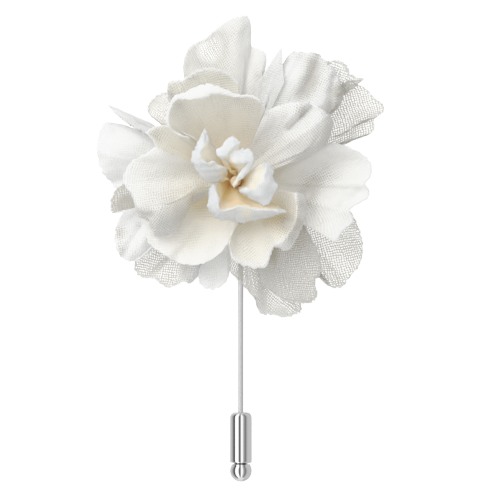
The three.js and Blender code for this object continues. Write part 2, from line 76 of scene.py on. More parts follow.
# Each petal, in millimetres from the bloom's middle, counter-clockwise:
#   rim      the cut edge's points
#   reach    how far out the two control points of the curve from the middle to the rim lie, as shares of
#            the way
#   rise     how high they lie, as shares of the way up
#   root     how far its root is moved from its place round the sheet's middle
#   ribs     [place along the rim, width as a share of the rim, height]
#   creases  [x, y, x, y, width, depth] of lines pressed down from the first point to the second, or
#            raised where the depth is below 0
#   lip      [place along the rim, width, drop] of the edge rolled outwards
#   crest    the ridge that a wide lip falls from, where it doesn't run beside the rim
#   sharp    True where the lip slopes down instead of rolling
#   lively   how much of the folds and soft waves it has, where that isn't as in its sheet
#   open     how see-through the weave is
#   weave_and_shade_spots  [x, y, radius, change] of round patches where the weave is more open, or less:
#   partly real open weave, partly painted shade where it opens and painted light where it closes
#   grain    how far the weave is turned, in degrees
#   cream    how much of the warm tint the petal's inner face has: partly the flower's own tint, partly painted shade
#   ragged   how uneven the tint's border is, as a share of the petal's length
#   tint_and_shade_patches  [x, y, radius, change] of round patches of more tint, partly the flower's own
#   tint and partly painted shade
REAR_PETALS = [
    # Right, hidden
    dict(
        rim=[[21, -5.5, 4.6], [24, -4, 4.4], [25, 0, 4.2], [24.5, 4, 4.4], [23, 7, 4.8], [20, 7.5, 5]],
    ),
    # Right upper
    dict(
        rim=[
            [25.7, 8.9, 4.6], [28, 10.2, 4.4], [31.4, 11.6, 4], [31.6, 14.3, 4.4], [33.6, 16.1, 4.2],
            [33.6, 17.5, 4.4], [31.6, 19.1, 5], [29.8, 21.1, 5.2], [27.5, 22.3, 5.4], [23.6, 22, 5.6],
        ],
        ribs=[[0.4, 0.2, 0.9]],
        open=1.0,
        grain=-12,
    ),
    # Top right tip
    dict(
        rim=[
            [23.6, 21.8, 6.4], [25.6, 22.9, 6.6], [29.1, 23.4, 6.6], [26.3, 24.4, 6.8], [25.2, 26.6, 7],
            [23.4, 27.7, 7.4], [21.1, 27.5, 7.4], [17, 26, 6.6],
        ],
        open=0.6,
        cream=0.25,
        grain=20,
    ),
    # Top
    dict(
        rim=[
            [6.4, 23, 6], [6.7, 26.6, 6.2], [6.7, 29.3, 6.2], [5.2, 30.2, 6.4], [3.5, 31, 6.6],
            [3.2, 34.3, 7.4], [3, 37.5, 8], [1.1, 37.6, 8], [-1.6, 36.8, 7.6], [-5.2, 34.3, 6.8],
            [-7, 32.7, 6.4], [-10.2, 31.1, 6], [-11.8, 28, 5.4], [-12, 24.5, 5], [-10.5, 20, 5],
        ],
        ribs=[[0.55, 0.12, 1.2], [0.3, 0.1, -0.8]],
        weave_and_shade_spots=[[-5.4, 30, 5.5, 0.52], [2, 28, 4, -0.2]],
        open=0.24,
        cream=0.12,
        grain=35,
    ),
    # Upper left
    dict(
        rim=[
            [-15.2, 20.7, 6.4], [-18, 19.8, 6.2], [-19.8, 18, 5.8], [-20.2, 16.1, 5.6],
            [-17.5, 13.5, 5.4],
        ],
        open=0.58,
        cream=0.4,
        grain=5,
    ),
    # Left
    dict(
        rim=[
            [-23.4, 12.3, 7], [-29.8, 13.4, 7.4], [-31.6, 8.4, 7], [-31.6, 6.6, 6.8], [-30.5, 2.5, 5.6],
            [-28.4, -0.2, 4.6], [-26.6, -1.8, 4.2], [-23.4, -2.5, 4.4],
        ],
        ribs=[[0.3, 0.16, 0.8], [0.62, 0.14, -0.7]],
        open=0.07,
        grain=8,
    ),
    # Lower left, hidden
    dict(
        rim=[[-22, -3.5, 4.6], [-24, -6, 3.8], [-24.5, -10, 3], [-22.5, -13, 2.6], [-19, -14, 3.2]],
        open=0.3,
    ),
    # Bottom left
    dict(
        rim=[
            [-20.7, -15.7, 3.4], [-23.2, -18.9, 2.6], [-22.5, -21.1, 2.2], [-20.7, -22, 2.2],
            [-18.9, -22, 2.6], [-15.7, -24.1, 3], [-11.6, -22.7, 3.2], [-10.7, -23.2, 3],
            [-8.4, -21.1, 3.4], [-6.8, -18, 3.8],
        ],
        ribs=[[0.62, 0.16, 0.8], [0.25, 0.12, -0.5]],
        weave_and_shade_spots=[[-9, -20.5, 4, -0.5]],
        open=0.7,
        grain=28,
    ),
    # Bottom
    dict(
        rim=[
            [-3, -17, 4.8], [-1.1, -20.7, 4.6], [2, -23.9, 4.2], [4.3, -27, 3.6], [5.7, -30, 3],
            [8, -30.2, 2.6], [11.6, -30.9, 2.2], [13.9, -30, 2.2], [15, -29.1, 2.4], [13.2, -25.4, 3],
        ],
        ribs=[[0.45, 0.14, 1]],
        weave_and_shade_spots=[[5, -27.5, 2.4, -0.5], [11, -29.5, 2.5, -0.35]],
        open=0.75,
        grain=40,
    ),
    # Right lower
    dict(
        rim=[
            [20.5, -22.7, 3], [22, -24.1, 2.8], [24.3, -23.9, 2.8], [25.7, -22, 3], [28.4, -18.4, 3.2],
            [28.9, -13.9, 3.6], [27.5, -9.3, 4.2], [26.1, -6.6, 4.6],
        ],
        ribs=[[0.45, 0.22, 1.1]],
        open=1.0,
        grain=-38,
    ),
]

SECOND_PETALS = [
    # Upper right
    dict(
        rim=[
            [21.1, 14.8, 8.2], [23.6, 17.5, 8.4], [24.1, 20.7, 9.2], [23, 24.3, 10.2],
            [20.7, 27.3, 11.2], [18.9, 29.5, 11], [16.1, 29.5, 10.6], [13, 29.5, 11], [11.1, 28, 10.6],
            [9.5, 24.5, 10.2],
        ],
        reach=[0.3, 0.82],
        rise=[0.5, 1.15],
        creases=[[19.7, 29, 15.1, 18.8, 1.6, 1.9], [22.4, 23.6, 20.8, 15.5, 0.9, 1.4]],
        lip=[
            [0, 2.8, 4], [0.25, 2.8, 4], [0.38, 2, 2.2], [0.5, 0.8, 0.5], [0.7, 0.4, 0.1], [1, 0.4, 0.1],
        ],
        weave_and_shade_spots=[
            [17.6, 26.6, 2, 0.35], [17, 23, 2.3, 0.45], [15.4, 20, 2.1, 0.4], [23.4, 20.5, 1.9, 0.5],
            [22.2, 16.6, 1.9, 0.5], [12, 25, 3, -0.2],
        ],
        open=0.25,
        grain=14,
    ),
    # Top spike
    dict(
        rim=[
            [11, 22.5, 11.6], [10.6, 26.5, 12.4], [10.3, 30.2, 13.2], [8.4, 27.6, 12.4],
            [5.4, 23, 11.4],
        ],
        open=0.2,
        lively=0.1,
    ),
    # Top left
    dict(
        rim=[
            [0.7, 22, 13.2], [-3, 24.8, 14.2], [-6.1, 25.7, 14.6], [-8.9, 25.2, 14.4],
            [-12, 23.2, 13.8], [-15.2, 22.5, 13], [-15.5, 20.2, 12.2], [-14.8, 17.5, 11.4],
        ],
        rise=[0.1, 0.6],
        open=0.34,
        cream=0.42,
    ),
    # Left spike
    dict(
        rim=[
            [-19.3, 13.4, 9.8], [-24.3, 15.5, 10.6], [-28.9, 17.3, 11.2], [-26.1, 14.3, 10.6],
            [-21.1, 11.1, 9.8],
        ],
        open=0.1,
        lively=0.1,
    ),
    # Left small
    dict(
        rim=[
            [-25.2, -0.2, 8.2], [-27.5, -2, 7.8], [-28.6, -4.8, 7.4], [-28.2, -7, 7.2],
            [-25.7, -6.5, 7.6],
        ],
        open=0.74,
        cream=0.3,
    ),
    # Left lower
    dict(
        rim=[
            [-25.7, -6.6, 7.8], [-27.3, -10.2, 7.2], [-27.5, -14.3, 6.6], [-25.7, -17.5, 6.6],
            [-23, -18, 7], [-20, -15.8, 7.4],
        ],
        ribs=[[0.5, 0.14, 1.6], [0.78, 0.1, -0.8]],
        creases=[[-21.6, -10.6, -25.8, -16.8, 1.1, 1.0], [-20.4, -12, -21.8, -16, 0.8, -0.5]],
        weave_and_shade_spots=[[-26.6, -11.5, 1.8, 0.5], [-26.9, -15, 1.6, 0.35]],
        open=0.12,
        grain=-20,
    ),
    # Bottom small
    dict(
        rim=[
            [-8.2, -19.8, 6.6], [-8.4, -22.5, 6.2], [-7.5, -23.9, 6], [-5.2, -24.5, 5.8],
            [-2.5, -23, 6], [-1.6, -20.7, 6.4],
        ],
        open=0.05,
        grain=25,
    ),
    # Right lower
    dict(
        rim=[
            [6, -23.4, 6.8], [10.7, -26.8, 6.4], [14.3, -27.5, 6.2], [17, -27.5, 6.2],
            [18.6, -25.7, 6.6], [18, -23, 7.2], [19.5, -20.2, 7.4], [18.9, -16.6, 8], [17, -12.5, 8.6],
            [15, -9.5, 8.8],
        ],
        ribs=[[0.4, 0.2, 0.8]],
        open=0.8,
        grain=-30,
        cream=0.5,
    ),
    # Right, hidden
    dict(
        rim=[[20, -9, 7.8], [22.5, -5, 7.4], [23, 0, 7.4], [22.5, 5, 7.6], [20.5, 9.5, 8]],
        open=0.2,
    ),
]

MIDDLE_PETALS = [
    # Right
    dict(
        rim=[
            [22.5, -13.9, 13.2], [24.3, -11.1, 13.4], [26.6, -8.9, 13.2], [25.9, -6.4, 13.6],
            [28, -4.8, 13.2], [30, -3.6, 12.8], [30.2, -2, 12.8], [29.3, -0.5, 13.4], [30.5, 1.1, 13],
            [30.7, 3.9, 12.8], [29.3, 5.7, 13], [26.6, 7.3, 13.6], [23, 8.6, 14], [20.2, 8.4, 14],
        ],
        reach=[0.35, 0.7],
        rise=[0.1, 0.95],
        creases=[
            [10.7, 2, 20.2, 7.3, 1.7, -1.8], [13, -2.5, 23.6, 3.9, 2.4, 0.9],
            [24, -5.5, 28, -2.5, 1, 0.5],
        ],
        weave_and_shade_spots=[[21, 3, 2.2, 0.22], [18, 0.2, 2.4, 0.58], [16.2, -3.4, 2.6, 0.68], [17.6, -7, 2, 0.3]],
        open=0.15,
        cream=0.12,
        grain=30,
    ),
    # Upper right
    dict(
        rim=[
            [15.7, 5.2, 14], [19.8, 8, 14.6], [21.1, 9.8, 15], [22, 13.4, 15.2], [20.2, 15.7, 15.6],
            [17, 17.5, 15.6], [13.9, 17.7, 16], [10, 17, 16.2], [6.6, 15.7, 16.2],
        ],
        reach=[0.3, 0.8],
        rise=[0.45, 1.2],
        creases=[
            [12.4, 12.2, 17, 16.8, 0.9, 2.2], [9, 7.5, 20, 15, 2.2, -1.1],
            [13.5, 14.8, 14.2, 18, 1.6, -0.7],
        ],
        lip=[[0, 3, 3.6], [0.2, 4.6, 5.4], [0.45, 3.4, 4.4], [0.6, 0.8, 0.5], [1, 0.3, 0.1]],
        weave_and_shade_spots=[
            [11, 7.5, 4, 0.2], [19.3, 9.8, 2.8, 0.32], [15.5, 7, 2.8, 0.25], [21.3, 12.8, 2.2, 0.35],
            [15, 15.5, 1.6, 0.3],
        ],
        grain=10,
    ),
    # Top cup
    dict(
        rim=[
            [6.6, 16.1, 19], [5.2, 18.4, 20.6], [3.4, 19.3, 21.4], [0.2, 19.5, 22], [-3, 20.7, 22.2],
            [-6.1, 21.6, 22.4], [-8.9, 20.9, 22.6], [-11.6, 19.8, 22.4], [-13.9, 18.9, 21.8],
            [-15.1, 16.6, 20.8], [-15.6, 14, 19.6], [-14.2, 11.4, 18.4], [-10.6, 9.9, 17.6],
        ],
        reach=[0.5, 0.95],
        rise=[-0.05, 0.8],
        lively=0.25,
        lip=[
            [0, 0.2, 0.1], [0.2, 0.5, 0.3], [0.34, 1.2, 0.5], [0.46, 2.6, 0.9], [0.58, 1.9, 0.8],
            [0.68, 0.8, 0.4], [1, 0.3, 0.1],
        ],
        cream=0.42,
        ragged=0.035,
        weave_and_shade_spots=[[-12.8, 17, 2.8, 0.4], [1, 18.4, 2, 0.3], [4.2, 16.8, 2, 0.3], [-4, 17, 6, 0.1]],
        open=0.1,
        grain=4,
    ),
    # Upper left
    dict(
        rim=[
            [-9.3, 9.8, 15], [-13.9, 12, 15.2], [-17.3, 12.6, 15.2], [-20.2, 11.1, 14.8],
            [-18.9, 9.5, 14.6], [-18, 7.7, 14.2],
        ],
        rise=[0.15, 0.8],
        weave_and_shade_spots=[[-18.4, 10.6, 2.6, 0.4]],
        open=0.15,
        cream=0.5,
    ),
    # Left
    dict(
        rim=[
            [-18, 7.8, 16], [-20.7, 6, 15.6], [-23.9, 4.3, 14.8], [-25.2, 0.2, 14.6], [-23.4, -3.4, 15],
            [-22, -7.6, 14], [-19.8, -9.1, 12.6], [-18.2, -12.3, 11.6], [-14.8, -11.7, 11.7],
            [-11.9, -8.4, 12.4], [-10.2, -4.2, 14],
        ],
        reach=[0.3, 0.75],
        rise=[0.5, 1.0],
        crest=[
            [-17.8, 7.6, 16.2], [-20.3, 5.8, 15.9], [-23.4, 4, 15.4], [-24.7, 0.2, 15.6],
            [-23, -3.2, 16.6], [-21.2, -6.4, 17.2], [-18.8, -6, 18.8], [-16.4, -5.2, 19.8],
            [-13.8, -4.2, 20], [-11.4, -2.8, 19.2], [-9.4, -1, 17.8],
        ],
        creases=[[-22.4, -7, -18.9, -7.7, 0.8, 1.4], [-24, 0.4, -12, 1.2, 1.6, 0.4]],
        weave_and_shade_spots=[[-16.5, -9.6, 3.2, 0.3], [-13, -7, 3.5, 0.3], [-20.6, -7.2, 1.6, 0.35]],
        tint_and_shade_patches=[[-9.6, -4.4, 3.4, 0.4], [-13, -6, 3, 0.15]],
        open=0.28,
        cream=0.12,
        grain=-8,
    ),
    # Lower left
    dict(
        rim=[
            [-20.7, -10.2, 11], [-19.8, -13.9, 11], [-17, -16.1, 11.4], [-13.9, -18, 11.8],
            [-9.8, -18.9, 12.4], [-6.1, -18, 12.8], [-3, -15.7, 13.4], [-0.7, -11.6, 14.2],
            [0.5, -8.9, 14.6],
        ],
        reach=[0.35, 0.75],
        rise=[0.35, 0.95],
        creases=[[-8.5, -10.5, -13.6, -17.8, 1.3, 1], [-14, -12.5, -18, -15.5, 1.4, 0.6]],
        tint_and_shade_patches=[[-8, -5, 5, 0.3], [-11, -13.5, 3, 0.1]],
        open=0.02,
        cream=0.2,
        grain=40,
    ),
    # Bottom
    dict(
        rim=[
            [-1.6, -14.3, 16], [-0.7, -17.5, 15.2], [2, -19.1, 14.8], [6.6, -19.3, 15],
            [7.7, -17, 15.6], [8.9, -14.8, 16], [11.6, -15.6, 14.4], [13.9, -12.4, 12.8],
            [15.4, -8.9, 12.4], [15.8, -5.6, 12.6], [15.2, -2.8, 13.6],
        ],
        crest=[
            [-1.4, -14.2, 16.2], [-0.5, -17.2, 15.5], [2.1, -18.6, 15.1], [6.4, -18.8, 15.3],
            [7.4, -16.7, 16], [8.6, -14.5, 16.6], [10.2, -13.7, 17.4], [12.3, -11.5, 18.4],
            [13.6, -8.6, 18.8], [13.9, -5.7, 19], [13.4, -2.6, 18.6],
        ],
        reach=[0.4, 0.85],
        rise=[0.1, 0.75],
        sharp=True,
        lively=0.2,
        weave_and_shade_spots=[
            [14.8, -5.5, 1.4, 0.3], [14.4, -9.5, 1.4, 0.3], [12.6, -13, 1.4, 0.3], [3, -11, 6, -0.2],
            [11.6, -9.6, 2.2, 0.5],
        ],
        tint_and_shade_patches=[[10.5, -8.5, 4, 0.45]],
        cream=0.35,
        grain=22,
    ),
]

INNER_PETALS = [
    # Left
    dict(
        rim=[
            [-6.5, 7.6, 22], [-6.2, 9.4, 22.6], [-6.9, 11.9, 23], [-7.7, 10.4, 22.4], [-8.3, 8.4, 21.8],
            [-9.6, 6.4, 20.6], [-9.7, 4.4, 19.6], [-8.8, 2.4, 18.4], [-7.3, 0.9, 17.2],
            [-5.4, -0.5, 16.4], [-3.8, -0.1, 16.4], [-2.5, 0.8, 17], [-1.9, 2.4, 19],
        ],
        crest=[
            [-6.6, 7.6, 22.4], [-6.5, 9.3, 23], [-7, 11.3, 23.5], [-7, 9.8, 23.5], [-7.4, 7.9, 23.2],
            [-8.1, 6.6, 22.8], [-8, 5.3, 22.6], [-7.4, 4.6, 22.4], [-6.4, 4.1, 22.2], [-5.2, 4.5, 22.4],
            [-4, 3.6, 21.8], [-2.9, 3.3, 21.2], [-2, 2.8, 20.2],
        ],
        reach=[0.2, 0.7],
        rise=[0.5, 0.8],
        sharp=True,
        cream=0.85,
        tint_and_shade_patches=[[-2, 1.6, 1.8, 0.6]],
        open=0.05,
    ),
    # Lower
    dict(
        root=[-0.8, 0.6],
        rim=[
            [-5.2, -0.7, 21.4], [-6.1, -2.2, 20.6], [-6.1, -4.6, 20], [-5.6, -7, 18.8],
            [-4.3, -8.3, 17.8], [-1.9, -8.6, 17.2], [0.9, -9.2, 16.8], [4.5, -8.8, 17],
            [8.7, -7.9, 17.8], [11.5, -6.9, 19.4],
        ],
        crest=[
            [-4.9, -0.9, 22], [-4.5, -2.3, 22.4], [-3.9, -4.3, 22.2], [-3.8, -6.1, 22],
            [-2.9, -6.7, 21.8], [-1.2, -6.4, 21.8], [0.9, -5.5, 22.2], [4.3, -6.4, 21.4],
            [7.9, -6.6, 21], [11.3, -6.8, 19.8],
        ],
        reach=[0.25, 0.7],
        rise=[0.5, 0.8],
        sharp=True,
        tint_and_shade_patches=[[2.6, -7.2, 1.2, 0.5], [-1.2, -7.4, 0.8, 0.2], [0.8, -3.4, 2.2, 0.5]],
        cream=1.25,
        open=0.05,
    ),
]

CENTRE_PETALS = [
    # Right curl
    dict(
        rim=[
            [0.8, -2.4, 21.2], [2.8, -3.5, 20.8], [4.7, -4.7, 20.6], [6.6, -5.5, 20.6],
            [8.3, -3.5, 21.2], [9.2, -1.4, 21.8], [8.3, 1.2, 22.6], [7.9, 3.3, 23.2], [6.2, 4.3, 23.6],
        ],
        crest=[
            [0.9, -2.1, 21.4], [2.6, -2, 22.4], [4.1, -2, 23], [5, -1.5, 23.5], [5.6, -0.8, 23.9],
            [6.2, 0, 24.1], [6.5, 1.2, 24.2], [6.7, 2.9, 24.2], [6, 4, 23.8],
        ],
        reach=[0, 0.3],
        rise=[0.6, 0.84],
        sharp=True,
        cream=0.8,
        open=0.12,
    ),
    # Core roll
    dict(
        root=[-0.8, 1.5],
        rim=[
            [-0.4, -1.5, 21.8], [1.4, 0.8, 22.4], [2.9, 2.4, 23], [3.9, 4.8, 23.4], [3.1, 7.1, 23.6],
            [0.8, 6.9, 23.6], [-1.6, 6.6, 23.4],
        ],
        crest=[
            [-0.6, -1.1, 22], [0.7, 1.2, 22.8], [2, 2.8, 23.6], [2.8, 4.1, 24], [1.7, 4.2, 24.2],
            [0, 4.5, 24.2], [-1.5, 5.5, 23.8],
        ],
        reach=[0, 0.35],
        rise=[0.6, 0.84],
        cream=0.6,
        tint_and_shade_patches=[[-1.6, 3, 1.6, 0.8], [-1, 0, 1.4, 0.8]],
        open=0.12,
    ),
    # Hook
    dict(
        root=[-0.6, 2.4],
        rim=[[1.1, 8.9, 24.2], [-0.7, 9.7, 24], [-2.4, 8.5, 23.8], [-4.3, 6.1, 23.4], [-3, 4.9, 23.2]],
        crest=[
            [0.8, 8.2, 24.4], [-0.4, 7.8, 24.8], [-1.4, 6.7, 24.6], [-2.3, 5.7, 24.2], [-2.6, 5, 23.4],
        ],
        reach=[0, 0.3],
        rise=[0.6, 0.84],
        cream=0.8,
        open=0.05,
    ),
]

# Each sheet:
#   node     the solid that it stands for
#   slot     the finish that it shares with other pieces
#   petals   its petals
#   radius   the radius of its uncut middle, in millimetres
#   flat     its width and length as it was cut, in metres
#   area     its area as it was cut, in square metres
#   lively   how much of the folds and soft waves its petals have
#   fray     how much of the uneven cut its petals have
#   gauze    True where it is gauze and not muslin
#   clear    how clear the open holes are, where they aren't filled with white: partly white size, partly painted light coming through
#   shaded_lips  True where its white is the darker blue-grey one, painted shade on its lips
#   crumple  how many times the plain crumples it has
#   bunch    how high its middle is bunched up, in millimetres
#   warm     how far the warm tint of the bloom's middle reaches, in millimetres
SHEETS = {
    "rear_gauze": dict(
        node="petals_rear_gauze",
        slot="gauze",
        petals=REAR_PETALS,
        radius=6.4,
        flat=(0.072, 0.074),
        area=0.0027,
        lively=0.9,
        fray=0.8,
        gauze=True,
        clear=0.97,
        warm=5,
    ),
    "second_gauze": dict(
        node="petals_second_gauze",
        slot="gauze",
        petals=SECOND_PETALS,
        radius=5.4,
        flat=(0.064, 0.066),
        area=0.0019,
        lively=0.8,
        fray=0.8,
        gauze=True,
        warm=7,
    ),
    "middle_muslin": dict(
        node="petals_middle",
        slot="muslin",
        petals=MIDDLE_PETALS,
        radius=4.4,
        flat=(0.066, 0.062),
        area=0.0026,
        lively=0.35,
        fray=0.6,
        warm=12,
    ),
    "inner_muslin": dict(
        node="petals_inner",
        slot="muslin",
        petals=INNER_PETALS,
        radius=1.7,
        flat=(0.034, 0.034),
        area=0.00046,
        lively=0.25,
        fray=0.6,
        shaded_lips=True,
        crumple=4,
    ),
    "tinted_centre": dict(
        node="petals_centre",
        slot="tinted_muslin",
        petals=CENTRE_PETALS,
        radius=2.2,
        flat=(0.03, 0.03),
        area=0.00042,
        lively=0.2,
        fray=0.6,
        shaded_lips=True,
        crumple=4,
        bunch=9,
    ),
}

# What a petal has where its own list doesn't say
PLAIN_REACH = [0.35, 0.75]
PLAIN_RISE = [0.3, 0.8]
PLAIN_OPEN = 0.3
PLAIN_RAGGED = 0.02
NO_LIP = [[0, 0, 0], [1, 0, 0]]

# Each set of waves: how many there are, and the shortest and the longest, in millimetres
CUT_WAVES = (14, 0.7, 2.4)
FOLD_WAVES = (6, 5, 16)
PLEAT_WAVES = (3, 7, 16)
SOFT_WAVES = (8, 5, 14)
CRUMPLE_WAVES = (10, 1.6, 4)
BORDER_WAVES = (5, 0.6, 2.4)
PATCH_WAVES = (6, 6, 16)
SWELL_WAVES = (9, 3, 12)
LIFT_WAVES = (12, 2, 7)

# A petal's shape
LIP_SHARE = 0.3  # the share of a petal's faces that a wide lip takes
WIDE_LIP = 2.5  # the width and drop together, in millimetres, from which a lip is wide
SHARP_LIP = 1.2  # the power that a sharp lip falls with
RIM_END = 0.03  # the share of the rim at each end where the uneven cut dies away
WRINKLES_GROW = (0.1, 0.8)  # from where to where along a petal its wrinkles grow
LONG_RIM = 25  # the rim's length, in millimetres, from which a petal has its full wrinkles
FOLD_SLANT, PLEAT_SLANT = 0.3, 0.4  # how fast folds and pleats change outwards, against across
PLEAT_DEPTH = 0.7  # how deep the pleats are, against the folds
CRUMPLE_SHARE = 0.12  # how high plain crumples are, against the soft waves
BUNCH_FROM, BUNCH_TO = 0.45, 0.6  # from where to where a bunched middle falls, as shares of its radius
DISC_STEPS = 24  # faces across a sheet's uncut middle
FACE_RINGS = 24  # rings of points on a flat turned face

# The tint and the weave over a petal
TINT_BORDER = 0.975  # where the cream ends, as a share of the way to the crest
TINT_BLUR = (-0.03, 0.01)  # from where to where it fades about that border
DEEP_FROM, DEEP_TO = 0.2, 0.85  # from where to where down from the crest the tint deepens, partly as painted shade down into the cups
CREST_TINT, ADDED_TINT = 0.65, 0.5  # the cream's share at the crest, and what it gains on the way down
NEAR_TINT = 0.25  # the warm tint at the bloom's middle
DISC_TINT = 0.9  # the tint of a sheet's uncut middle
WEAVE_RISE = 0.45  # how much a petal's climb counts in its weave
OPEN_GAIN = 1.3  # what a petal's own openness is multiplied by
PATCH_MEAN, PATCH_CHANGE = 0.97, 0.12  # how the weave differs in soft patches
FILLED_RIM = (-0.6, 1)  # the distances from the rim, in millimetres, between which the weave opens

# The cloth's threads, holes and colours
SWAY, JITTER = 1.5, 0.4  # how far, in millimetres, threads wander softly and finely
GAUZE_THREAD = 0.88  # how wide the gauze's threads are, against the muslin's
GAUZE_UNEVEN, MUSLIN_UNEVEN = 0.3, 0.16  # how much the holes differ in size
HOLE_EDGE = 0.06  # half the width of a hole's soft edge, as a share of the pitch
CLEAR_FROM, CLEAR_TO = 0.45, 0.8  # how open the weave is where holes begin to clear, and are clear
FILM_FROM, FILM_TO = 0.78, 0.96  # the same for the white in the holes, partly white size and partly painted light coming through
CREAM_AT = 0.45  # the tint at which the cloth is cream, between white and amber
GAUZE_WEB, MUSLIN_WEB = 1.0, 0.65  # how much of the bare threads' colour shows at the most open
CLEAR_WEB, CLOSED_WEB = (0.53, 0.515, 0.455, 1), (0.48, 0.455, 0.39, 1)  # the colour of bare threads, partly their own grey and partly painted shade
MOTTLED = (0.85, 0.84, 0.79, 1)  # the colour of the soft patches in the cloth
# Painted shade in the weave's holes, and the white that fills the most open ones, partly white size and
# partly painted light
SHADED_HOLE = (0.42, 0.4, 0.34, 1)
WHITE_SIZE_AND_LIGHT = (1.0, 1.0, 1.0, 1)
FLECK = (0.3, 0.26, 0.2, 1)  # the colour of the few dark specks of seed husk
LIGHT_THROUGH = 0.42  # the share of the cloth that passes light on
SCRATCHES = (600, 5000, 600)  # how fine the metal's scratches are along X, Y and Z

# The picture's tone: pairs of light and how bright it shows, up to the light that shows as white
TONE_WHITE = 1.7
TONE = [(0.1, 0.145), (0.3, 0.395), (0.53, 0.565), (0.77, 0.72), (1.1, 0.9), (1.35, 0.955)]
PICTURE_MIDDLE = (2.1, -0.2, 8)  # what the camera looks straight down at, in millimetres
# Each soft light's width and length, and its place, in metres
KEY_SIZE, KEY_PLACE = (0.42, 0.55), (-0.31, 0.31, 0.49)
OVERHEAD_SIZE, OVERHEAD_PLACE = (0.3, 0.6), (0.03, 0.05, 0.64)
FLOOR_HALF = 3.0  # metres from the floor's middle to its edges
RING_RADIUS, RING_HALF = 0.6, 1.6  # the radius and half the length, in metres, of what the metal mirrors
# What the metal mirrors: angles from the zenith about Y, in degrees, and how bright it is there
MIRRORED = [
    (-180, 0.8), (-142, 0.76), (-118, 0.6), (-101, 0.34), (-86, 0.2), (-79, 0.045), (-68, 0.045),
    (-60, 0.4), (-55, 2.2), (-32, 2.2), (-26, 0.9), (-20, 0.1), (-6, 0.08), (0, 0.3), (5, 1.4), (15, 1.8),
    (22, 0.7), (33, 0.35), (43, 0.16), (55, 0.16), (66, 0.35), (78, 0.52), (107, 0.55), (128, 0.58),
    (150, 0.34), (180, 0.8),
]


class ClothSettings(bpy.types.PropertyGroup):
    """Sizes and colours of the cloth"""

    thickness: FloatProperty(
        name="Cloth thickness",
        description="Thickness of the stiffened cloth",
        default=0.3 * MM,
        unit="LENGTH",
    )
    pitch: FloatProperty(
        name="Thread pitch", description="From one thread to the next, in millimetres", default=0.55,
    )
    thread: FloatProperty(
        name="Thread width", description="Half a thread's width, as a share of the pitch", default=0.22,
    )
    waves: FloatProperty(
        name="Waves", description="Height of the cloth's soft waves, in millimetres", default=0.35,
    )
    pleats: FloatProperty(
        name="Pleats",
        description="Height of the folds that run out to the rim, in millimetres",
        default=0.3,
    )
    fray: FloatProperty(
        name="Fray", description="Unevenness of the cut edges, in millimetres", default=0.22,
    )
    steps_out: IntProperty(name="Steps out", description="Faces from a petal's root to its rim", default=44)
    steps_across: IntProperty(name="Steps across", description="Faces along a petal's rim", default=84)
    white: FloatVectorProperty(
        name="White", description="Colour of the bare cloth", subtype="COLOR", default=(0.94, 0.945, 0.945),
    )
    # Painted shade: the inner sheets' white, a darker blue-grey that stands for the shade on their lips
    stiffened: FloatVectorProperty(
        name="Stiffened",
        description="Colour of the stiffened lips",
        subtype="COLOR",
        default=(0.8, 0.83, 0.85),
    )
    cream: FloatVectorProperty(
        name="Cream",
        description="Colour of the tinted cloth",
        subtype="COLOR",
        default=(0.935, 0.9, 0.775),
    )
    amber: FloatVectorProperty(
        name="Amber",
        description="Colour at the bottom of the bloom",
        subtype="COLOR",
        default=(0.79, 0.58, 0.28),
    )


class PinSettings(bpy.types.PropertyGroup):
    """Fineness and colours of the pin, the clutch and the backing"""

    sides: IntProperty(name="Sides", description="Faces round each turned piece", default=128)
    chrome: FloatVectorProperty(
        name="Chrome", description="Colour of the clutch", subtype="COLOR", default=(0.86, 0.86, 0.87),
    )
    steel: FloatVectorProperty(
        name="Steel",
        description="Colour of the needle and the pad",
        subtype="COLOR",
        default=(0.72, 0.72, 0.73),
    )
    felt: FloatVectorProperty(
        name="Felt", description="Colour of the backing", subtype="COLOR", default=(0.86, 0.85, 0.82),
    )
    glue: FloatVectorProperty(
        name="Glue", description="Colour of the set glue", subtype="COLOR", default=(0.8, 0.75, 0.62),
    )


class StageSettings(bpy.types.PropertyGroup):
    """The camera, the floor and the lights"""

    distance: FloatProperty(
        name="Camera distance", description="From the camera to the part", default=1.2, unit="LENGTH",
    )
    view_width: FloatProperty(
        name="View width", description="Width of what the camera sees", default=0.1136, unit="LENGTH",
    )
    floor: FloatVectorProperty(
        name="Floor", description="Colour of the floor", subtype="COLOR", default=(0.95, 0.95, 0.95),
    )
    key: FloatProperty(name="Key", description="Power of the upper left light", default=4.9, unit="POWER")
    top: FloatProperty(name="Top", description="Power of the overhead light", default=0.3, unit="POWER")
    fill: FloatProperty(name="Fill", description="Strength of the light from all round", default=0.92)


def smooth_step(low, high, value):
    """0 below low, 1 above high, and a cubic with level ends between."""
    share = np.clip((value - low) / (high - low), 0, 1)
    return share * share * (3 - 2 * share)


def waves(seed, count, shortest, longest, *along):
    """A sum of sine waves with random directions, lengths and phases.

    Each adds sin(2 pi (f . p) + phase), and the sum is divided by the root of their count.
    """
    draw = np.random.default_rng(seed)
    total = np.zeros(np.broadcast(*along).shape)
    for _ in range(count):
        direction = draw.normal(size=len(along))
        direction /= np.linalg.norm(direction)
        turns = 1 / draw.uniform(shortest, longest)
        phase = draw.uniform(0, 2 * np.pi)
        inside = sum(turns * part * value for part, value in zip(direction, along))
        total += np.sin(2 * np.pi * inside + phase)
    return total / np.sqrt(count)


